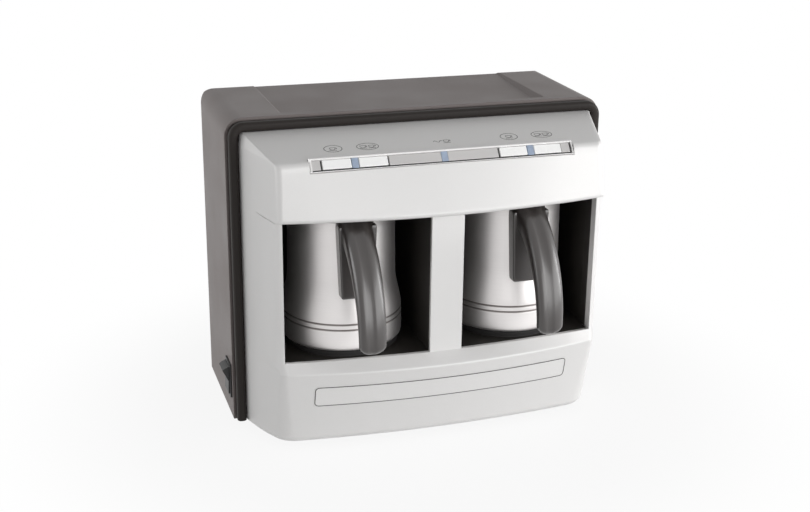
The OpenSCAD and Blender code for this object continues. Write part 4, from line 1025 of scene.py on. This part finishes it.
@dataclass
class ControlStrip(Assembly):
    """Strip of four cup buttons with its blue lights, in a frame with its face at Z 0."""

    coats = {
        Finishes.BLACK_PLASTIC: (*(f"switch_plunger_{n}" for n in range(1, 5)),
                                 "tact_switches", "buzzer"),
        Finishes.LAMP_CLEAR: ("indicator_lamps",),
        Finishes.BOARD_GREEN: ("control_board",),
        Finishes.SCREW_STEEL: ("control_screws",),
    }

    length: float = 212.4
    height: float = 12.0
    group_x: float = 70.7
    button_l: float = 22.4
    button_gap: float = 0.42
    light_w: float = 5.2
    channel: float = 8.2
    channel_in: float = 1.2
    center: float = 88.6
    cap_x: float = 100.65
    cap_l: float = 7.2
    deep: float = -6.4
    sunk: float = -0.9
    light_top: float = -0.7
    rim_profile: tuple[Plan, ...] = ((0.0, -6.0), (0.0, -0.7), (0.7, 0.1), (1.5, 0.1),
                                     (1.9, -0.4), (1.9, -4.0), (0.4, -6.0))
    rim_low: float = 0.45
    rim_right: float = 0.75
    light_rod: Point = (-9.0, -5.0, 1.8)
    stem_r: float = 1.6
    stem_top: float = -3.0
    stems: tuple[Plan, ...] = ((-7.5, -9.5), (0.0, -8.8), (7.5, -9.5))

    def block(self, name: str, shop: Workshop, finish: Finishes,
              boxes: list[tuple[Point, Point]], replaced: str = "", bevel: float = 0.3,
              body: str = "machine", rods: tuple[tuple[float, Point], ...] = ()) -> None:
        """Makes a piece of bevelled boxes and rods in the strip's frame.

        Args:
            name: Name of the piece.
            shop: Holds the materials.
            finish: Its finish.
            boxes: Lowest and highest corner of each box.
            replaced: CAD node that it stands for, if any.
            bevel: Width of its edges' bevel.
            body: Body that it rides on.
            rods: Each rod's place along X, with its foot, head and radius.
        """
        form = Form()
        for low, high in boxes:
            form.box(low, high, STRIP_FRAME)
        for x, (foot, head, radius) in rods:
            form.rod(STRIP_FRAME @ Vector((x, 0.0, foot)), STRIP_FRAME @ Vector((x, 0.0, head)),
                     radius)
        form.finish(name, shop, finish, replaced, body, bevel)

    def build(self, shop: Workshop) -> None:
        """Makes the rim, the dark channel with its bar of painted shadow under the caps, the caps,
        lights and buttons.
        """
        super().build(shop)
        self.build_rim(shop)
        end = self.length / 2 - self.channel_in
        low, high = -self.channel / 2, self.channel / 2
        self.block("strip_channel", shop, Finishes.BLACK_PLASTIC, [
            ((-end, low - 0.8, -7.9), (end, high + 0.3, -2.6)),
            # This lower bar is painted shadow: a dark strip below the caps for the shade under the
            # strip's lower edge
            ((-end, low - 1.2, -3.4), (end, low + 0.5, -1.6)),
        ], bevel=0.1)
        cap, half_c, half_l = self.cap_l / 2, self.center / 2, self.light_w / 2
        for name, node, spans in (
                ("strip_caps", "strip_end_caps", ((-self.cap_x - cap, -self.cap_x + cap - 0.5),
                                                  (self.cap_x - cap - 0.6,
                                                   self.cap_x + cap - 0.7))),
                ("strip_bar", "strip_center_bar", ((-half_c + 0.1, -half_l - 0.05),
                                                   (half_l + 0.05, half_c - 0.6)))):
            self.block(name, shop, Finishes.STRIP_GREY, [
                ((x0, low + 0.3, self.deep), (x1, high - 0.1, self.sunk)) for x0, x1 in spans
            ], node)
        lights = (-self.group_x, 0.0, self.group_x)
        self.block("strip_lights", shop, Finishes.LIGHT_BLUE, [
            ((x - half_l + 0.1, low + 0.2, self.deep), (x + half_l - 0.1, high - 0.1,
                                                        self.light_top)) for x in lights
        ], "light_windows", rods=tuple((x, self.light_rod) for x in lights))
        self.build_buttons(shop)

    def build_rim(self, shop: Workshop) -> None:
        """Makes the bright rim with its sloping front edge."""
        half, tall = self.length / 2, self.height / 2
        form = Form()
        rings = []
        for inset, lift in self.rim_profile:
            low, high = -tall + inset * self.rim_low, tall - inset
            left, right = -half + inset, half - inset * self.rim_right
            rings.append([STRIP_FRAME @ Vector((x, y, lift)) for x, y in (
                (left, low), (right, low), (right, high), (left, high))])
        form.loop(rings)
        form.finish("strip_rim", shop, Finishes.STRIP_CHROME, "strip_frame", bevel=0.12)

    def build_buttons(self, shop: Workshop) -> None:
        """Makes the four white cup buttons with their stems."""
        half = self.button_l / 2
        offset = self.light_w / 2 + half + self.button_gap
        places = [g * self.group_x + s * offset for g in (-1, 1) for s in (-1, 1)]
        low, high = -self.channel / 2 + 0.55, self.channel / 2 - 0.25
        for number, x in enumerate(places, 1):
            stems = tuple((x + s, (foot, self.stem_top, self.stem_r)) for s, foot in self.stems)
            self.block(f"button_{number}_cap", shop, Finishes.BUTTON_WHITE,
                       [((x - half, low, -3.9), (x + half, high, -0.7))],
                       f"cup_button_{number}", 0.45, f"button_{number}", stems)


@dataclass
class Pictograms:
    """Small cup signs printed above the buttons."""

    line: float = 0.46
    lift: float = 0.06
    sink: float = 0.25
    band_slope: float = 0.20513
    middle_y: float = -40.0
    one_cup: Plan = (-82.8, 60.1)
    two_cups: Plan = (-55.5, 87.9)
    ring_y: float = 5.4
    pour_x: float = 2.5

    def on_band(self, x: float, y: float) -> Vector:
        """Puts a plan point on the panel's top band."""
        brow = FrontPanel.brow
        return Vector((x, y, brow.z + (y + brow.reach) * self.band_slope + self.lift))

    def stroke(self, form: Form, path: list[Plan], closed: bool = False) -> None:
        """Draws a line of even width along a path.

        Args:
            form: Takes the faces.
            path: Points in plan.
            closed: Joins the path's end to its start.
        """
        count = len(path)
        sunk = Vector((0.0, 0.0, -self.sink))
        rings = []
        for i, (x, y) in enumerate(path):
            before = path[i - 1] if closed or i else path[i]
            after = path[(i + 1) % count] if closed or i < count - 1 else path[i]
            dx, dy = after[0] - before[0], after[1] - before[1]
            far = math.hypot(dx, dy) or 1.0
            nx, ny = -dy / far * self.line / 2, dx / far * self.line / 2
            left, right = self.on_band(x - nx, y - ny), self.on_band(x + nx, y + ny)
            rings.append([left + sunk, right + sunk, right, left])
        (form.loop if closed else form.loft)(rings)

    def oval(self, x: float, y: float, half_x: float, half_y: float, start: float = 0.0,
             sweep: float = 360.0, points: int = 40) -> list[Plan]:
        """Gives points of an oval or of part of one."""
        last = points if sweep >= 360.0 else points - 1
        angles = [math.radians(start + sweep * i / last) for i in range(points)]
        return [(x + half_x * math.cos(a), y + half_y * math.sin(a)) for a in angles]

    def cup(self, form: Form, x: float) -> None:
        """Draws a cup with its ear and saucer."""
        y = self.middle_y
        bowl = [(x - 2.1, y + 1.7), *self.oval(x, y + 0.4, 2.1, 2.3, 180.0, 180.0, 12),
                (x + 2.1, y + 1.7)]
        self.stroke(form, bowl, True)
        self.stroke(form, self.oval(x + 2.2, y + 0.5, 1.1, 1.0, -80.0, 160.0, 9))
        self.stroke(form, [(x - 3.0, y - 2.7), (x + 3.0, y - 2.7)])

    def build(self, shop: Workshop) -> None:
        """Prints the five signs."""
        form = Form()
        for places, half_x, cups in ((self.one_cup, 7.0, (-0.4,)),
                                     (self.two_cups, 8.6, (-3.8, 3.0))):
            for x in places:
                self.stroke(form, self.oval(x, self.middle_y, half_x, self.ring_y), True)
                for offset in cups:
                    self.cup(form, x + offset)
        wave = [(self.pour_x - 5.0 + i * 0.4,
                 self.middle_y + 1.3 * math.sin(i * 0.5)) for i in range(19)]
        self.stroke(form, wave)
        self.cup(form, self.pour_x + 5.4)
        form.finish("cup_signs", shop, Finishes.INK_GREY)


@dataclass
class Pot:
    """A coffee pot with its handle."""

    side: str
    x: float
    y: float = -16.6
    radius: float = 48.5
    neck: float = 42.7
    height: float = 104.5
    wall: float = 1.2
    inset: float = 0.1
    swell: float = 0.6
    blend: Plan = (20.0, 54.0)
    groove_half: float = 1.0
    groove_deep: float = 0.95
    flare: float = 9.0
    lip: float = 1.8
    spout: float = 4.6
    spout_rise: float = 19.0
    spout_bend: float = 1.6
    spout_turn: float = 0.2
    segments: int = 144
    arc_r: float = 86.5
    arc_y: float = -8.4
    arc_z: float = 22.0
    root_angle: float = 68.0
    tip_angle: float = -3.0
    tip_share: Plan = (0.94, 0.06)
    handle_w: float = 22.6
    handle_taper: Plan = (1.08, 0.17)
    handle_x: float = -0.9
    root_share: float = 0.085
    valley: Point = (-0.16, 0.22, 1.7)
    handle_t: Plan = (22.0, 11.0)
    block: Plan = (45.0, 104.0)
    block_w: float = 30.2
    block_out: float = 8.5
    block_narrow: float = 2.2
    block_corner: float = 1.3

    def outer(self, z: float) -> float:
        """Radius of the pot's outside at a height above its bottom."""
        low, high = self.blend
        foot, belt, rim = self.radius - self.inset, self.neck + self.swell, self.height - self.flare
        if z < low:
            base = foot
        elif z < high:
            wave = (1 + math.cos(math.pi * (z - low) / (high - low))) / 2
            base = belt + (foot - belt) * wave
        else:
            base = belt - self.swell * min(1.0, (z - high) / (rim - high))
        if z > rim:
            base = self.neck + self.lip * ((z - rim) / self.flare) ** 2
        for groove in TURNED_LINES:
            off = abs(z - groove) / self.groove_half
            if off < 1.0:
                base -= self.groove_deep * (1 + math.cos(math.pi * off)) / 2
        return base

    def profile(self) -> list[Plan]:
        """Radius and height along the pot's wall, from under its base round to the inside."""
        foot = [(0.0, 0.0), (self.radius - 6.0, 0.0), (self.radius - 3.0, 0.0),
                (self.radius - 1.5, 0.5), (self.radius - 0.5, 1.6), (self.radius - 0.1, 3.2)]
        heights = [6.0, 10.0, 14.0, 16.6]
        for groove in TURNED_LINES:
            heights += [groove + d for d in (-1.0, -0.7, -0.4, 0.0, 0.4, 0.7, 1.0)]
        heights += [26.0 + 2.0 * i for i in range(15)] + [60.0, 68.0, 76.0, 84.0, 90.0]
        heights += [self.height - self.flare + i for i in range(1, 9)]
        outside = [(self.outer(z), z) for z in heights]
        rim = self.outer(self.height - 0.7)
        lip = [(rim + 0.15, self.height - 0.55), (rim, self.height - 0.12),
               (rim - 0.45, self.height), (rim - 0.95, self.height - 0.2),
               (rim - 1.1, self.height - 0.7)]
        inside = [(self.outer(z) - self.wall, z) for z in reversed(heights)
                  if z > TURNED_LINES[1] + 2.5]
        floor = [(self.radius - 2.4, 14.0), (self.radius - 2.4, 6.0),
                 (self.radius - 3.2, 4.0), (self.radius - 5.0, 3.0), (0.0, 3.0)]
        return foot + outside + lip + inside + floor

    def build_body(self, shop: Workshop) -> None:
        """Turns the pot's body and draws its pouring lip out."""
        form = Form()
        rings = []
        for radius, z in self.profile():
            rise = max(0.0, (z - self.height + self.spout_rise) / self.spout_rise)
            spout = self.spout * rise ** self.spout_bend if radius > self.neck - 3 else 0.0
            ring = []
            for angle in turns(self.segments):
                # The lip lies at the left, so it fades with the turn away from there
                off = math.atan2(math.sin(angle - math.pi), math.cos(angle - math.pi))
                r = radius + spout * math.exp(-(off / self.spout_turn) ** 2)
                ring.append(Vector((self.x + r * math.cos(angle),
                                    self.y + r * math.sin(angle), POT_Z + z)))
            rings.append(ring)
        form.grid(rings, closed=True)
        form.finish(f"pot_{self.side}_body", shop, Finishes.POT_STEEL, f"pot_{self.side}",
                    f"{self.side}_pot", sharp=50.0)

    def grip_ring(self, share: float, points: int = 48) -> list[Vector]:
        """Section of the grip at a share of its length from the root.

        Args:
            share: The share of its length.
            points: Points of the section.

        Returns:
            The section's points.
        """
        start, length = self.tip_share
        end = 1.0 if share < start else math.sqrt(max(0.0, 1 - ((share - start) / length) ** 2))
        root, tip = self.handle_t
        wide, taper = self.handle_taper
        half_w = self.handle_w / 2 * (wide - taper * share) * end
        half_w += (self.block_w / 2 - half_w) * math.exp(-(share / self.root_share) ** 2)
        half_t = (tip / 2 + (root - tip) / 2 * (1 - share) ** 1.5) * end
        angle = math.radians(self.root_angle + (self.tip_angle - self.root_angle) * share)
        middle = self.x + self.handle_x * min(1.0, share / 0.2)
        place, width, depth = self.valley
        ring = []
        for turn in turns(points):
            c, s = math.cos(turn), math.sin(turn)
            power = 0.64 if c < 0 else (1.0 if s > 0 else 0.82)
            across = half_w * math.copysign(abs(c) ** power, c)
            thick = half_t * math.copysign(abs(s) ** power, s)
            if s > 0:
                dip = math.exp(-((across / max(half_w, 0.1) - place) / width) ** 2)
                thick -= depth * dip * end * min(1.0, share / 0.1)
            r = self.arc_r + thick
            ring.append(Vector((middle + across, self.y + self.arc_y - r * math.cos(angle),
                                POT_Z + self.arc_z + r * math.sin(angle))))
        return ring

    def block_ring(self, z: float, inset: float) -> list[Vector]:
        """Section of the handle's block, hugging the pot's neck.

        Args:
            z: Height above the pot's bottom.
            inset: How far the section is drawn in.

        Returns:
            The section's points.
        """
        low, high = self.block
        half = self.block_w / 2 - self.block_narrow * (1 - (z - low) / (high - low)) - inset
        front = self.neck + self.block_out - inset
        ring = []
        for side in (1, -1):
            corner = rounded([Vector((side * half, -self.neck + 12, z)),
                              Vector((side * half, -front, z)), Vector((0, -front, z))],
                             [0.0, self.block_corner, 0.0], [1, 6, 1])[1:-1]
            ring += corner if side > 0 else corner[::-1]
        back = self.outer(z) - 0.4
        for i in range(9):
            x = -half + 2 * half * i / 8
            ring.append(Vector((x, -math.sqrt(back ** 2 - x ** 2), z)))
        return [p + Vector((self.x, self.y, POT_Z)) for p in ring]

    def build_handle(self, shop: Workshop) -> None:
        """Makes the grip and its block as one piece."""
        form = Form()
        start, length = self.tip_share
        shares = [start * i / 30 for i in range(31)] + [
            start + length * math.sin(math.pi / 2 * i / 7) for i in range(1, 7)] + [0.9999]
        form.loft([self.grip_ring(share) for share in shares])
        low, high = self.block
        levels = [(low, 1.4), (low + 0.4, 0.6), (low + 1.0, 0.15), (low + 2.6, 0.0)]
        levels += [(low + 2.6 + (high - low - 5.6) * i / 8, 0.0) for i in range(1, 9)]
        levels += [(high - 0.9, 0.2), (high - 0.3, 0.7), (high, 1.5)]
        form.loft([self.block_ring(z, inset) for z, inset in levels])
        form.finish(f"pot_{self.side}_grip", shop, Finishes.HANDLE_BAKELITE,
                    f"pot_handle_{self.side}", f"{self.side}_pot", sharp=45.0)

    def build(self, shop: Workshop) -> None:
        """Makes the pot and its handle."""
        self.build_body(shop)
        self.build_handle(shop)
        shop.dress(Finishes.SCREW_STEEL, f"handle_studs_{self.side}")


@dataclass
class Lamp:
    """A soft rectangular lamp, in metres and watts."""

    name: str
    place: Point
    width: float
    height: float
    power: float
    aim: Point = (0.0, 0.0, 0.13)

    def build(self) -> None:
        """Hangs the lamp and turns it to what it lights."""
        data = bpy.data.lights.new(self.name, "AREA")
        data.shape = "RECTANGLE"
        data.size = self.width
        data.size_y = self.height
        data.energy = self.power
        lamp = show(self.name, data)
        lamp.location = self.place
        lamp.rotation_mode = "QUATERNION"
        toward = Vector(self.aim) - Vector(self.place)
        lamp.rotation_quaternion = toward.to_track_quat("-Z", "Y")


@dataclass
class Studio:
    """Camera, pale floor, white surroundings and soft lamps, in metres and degrees."""

    camera_place: Point = (-0.32191, -0.98547, 0.50224)
    camera_turn: Point = (17.74, 19.57, 0.68)
    lens: float = 58.785
    sensor: float = 36.0
    floor_radius: float = 9.0
    floor_grey: Colour = (0.82, 0.82, 0.82, 1.0)
    floor_fade: Plan = (0.9, 1.0)
    fade_reach: Plan = (0.17, 0.38)
    ambient: float = 0.145
    lamps: list[Lamp] = field(default_factory=lambda: [
        Lamp("key_lamp", (1.15, -1.8, 0.6), 3.2, 1.35, 40.0),
        Lamp("side_lamp", (-1.9, 0.35, 0.5), 1.6, 0.9, 11.0),
        Lamp("rim_lamp", (1.93, -0.4, 0.45), 0.4, 0.9, 10.5),
    ])

    def set_camera(self) -> None:
        """Puts the camera in place and makes it the scene's own."""
        yaw, pitch, roll = (math.radians(angle) for angle in self.camera_turn)
        ahead = Vector((math.sin(yaw) * math.cos(pitch), math.cos(yaw) * math.cos(pitch),
                        -math.sin(pitch)))
        right = Vector((math.cos(yaw), -math.sin(yaw), 0.0))
        up = right.cross(ahead)
        right, up = (right * math.cos(roll) + up * math.sin(roll),
                     up * math.cos(roll) - right * math.sin(roll))
        data = bpy.data.cameras.new("camera")
        data.sensor_fit = "HORIZONTAL"
        data.sensor_width = self.sensor
        data.lens = self.lens
        camera = show("camera", data)
        turn = Matrix((right, up, -ahead)).transposed().to_4x4()
        camera.matrix_world = Matrix.Translation(Vector(self.camera_place)) @ turn
        bpy.context.scene.camera = camera

    def lay_floor(self) -> None:
        """Lays the pale floor, white where the camera sees it unshadowed."""
        mesh = bpy.data.meshes.new("floor")
        ring = [(self.floor_radius * math.cos(angle), self.floor_radius * math.sin(angle), 0.0)
                for angle in turns(64)]
        mesh.from_pydata(ring, [], [list(range(len(ring)))])
        wiring = Wiring("floor_white", Base_Color=self.floor_grey, Roughness=0.9,
                        Specular_IOR_Level=0.0)
        distance = wiring.work_out("LENGTH", wiring.place, kind="VectorMath", out="Value")
        fade = wiring.spread(distance, *self.floor_fade, *self.fade_reach)
        fade.node.interpolation_type = "SMOOTHSTEP"
        wiring.blend(wiring.work_out("MULTIPLY", fade, wiring.seen_white()),
                     wiring.shader.outputs["BSDF"],
                     wiring.add("Emission", Strength=1.0).outputs["Emission"], wiring.output)
        mesh.materials.append(wiring.material)
        show("floor", mesh)

    def set_world(self) -> None:
        """Makes the surroundings white to the camera and soft grey to the object."""
        world = bpy.data.worlds.new("surroundings")
        bpy.context.scene.world = world
        world.use_nodes = True
        nodes = Nodes(world.node_tree)
        soft = nodes.add("Background", Color=WHITE, Strength=self.ambient)
        white = nodes.add("Background", Color=WHITE)
        nodes.blend(nodes.seen_white(), soft.outputs[0], white.outputs[0],
                    nodes.add("OutputWorld"))

    def build(self) -> None:
        """Builds all of the studio."""
        self.set_camera()
        self.lay_floor()
        self.set_world()
        for lamp in self.lamps:
            lamp.build()
        bpy.context.scene.view_settings.view_transform = "Standard"
        LOG.info("built the studio")


def main() -> None:
    """Builds the coffee maker's looks around its frame."""
    logging.basicConfig(level=logging.INFO, format="%(message)s")
    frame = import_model()
    shop = Workshop(frame)
    for group in (Casing(), FrontPanel(), ControlStrip(), Pictograms(), MainsSwitch(), Niches(),
                  Electronics(), Pot("left", -70.7), Pot("right", 70.7, handle_x=0.5)):
        group.build(shop)
    Studio().build()


if __name__ == "__main__":
    main()
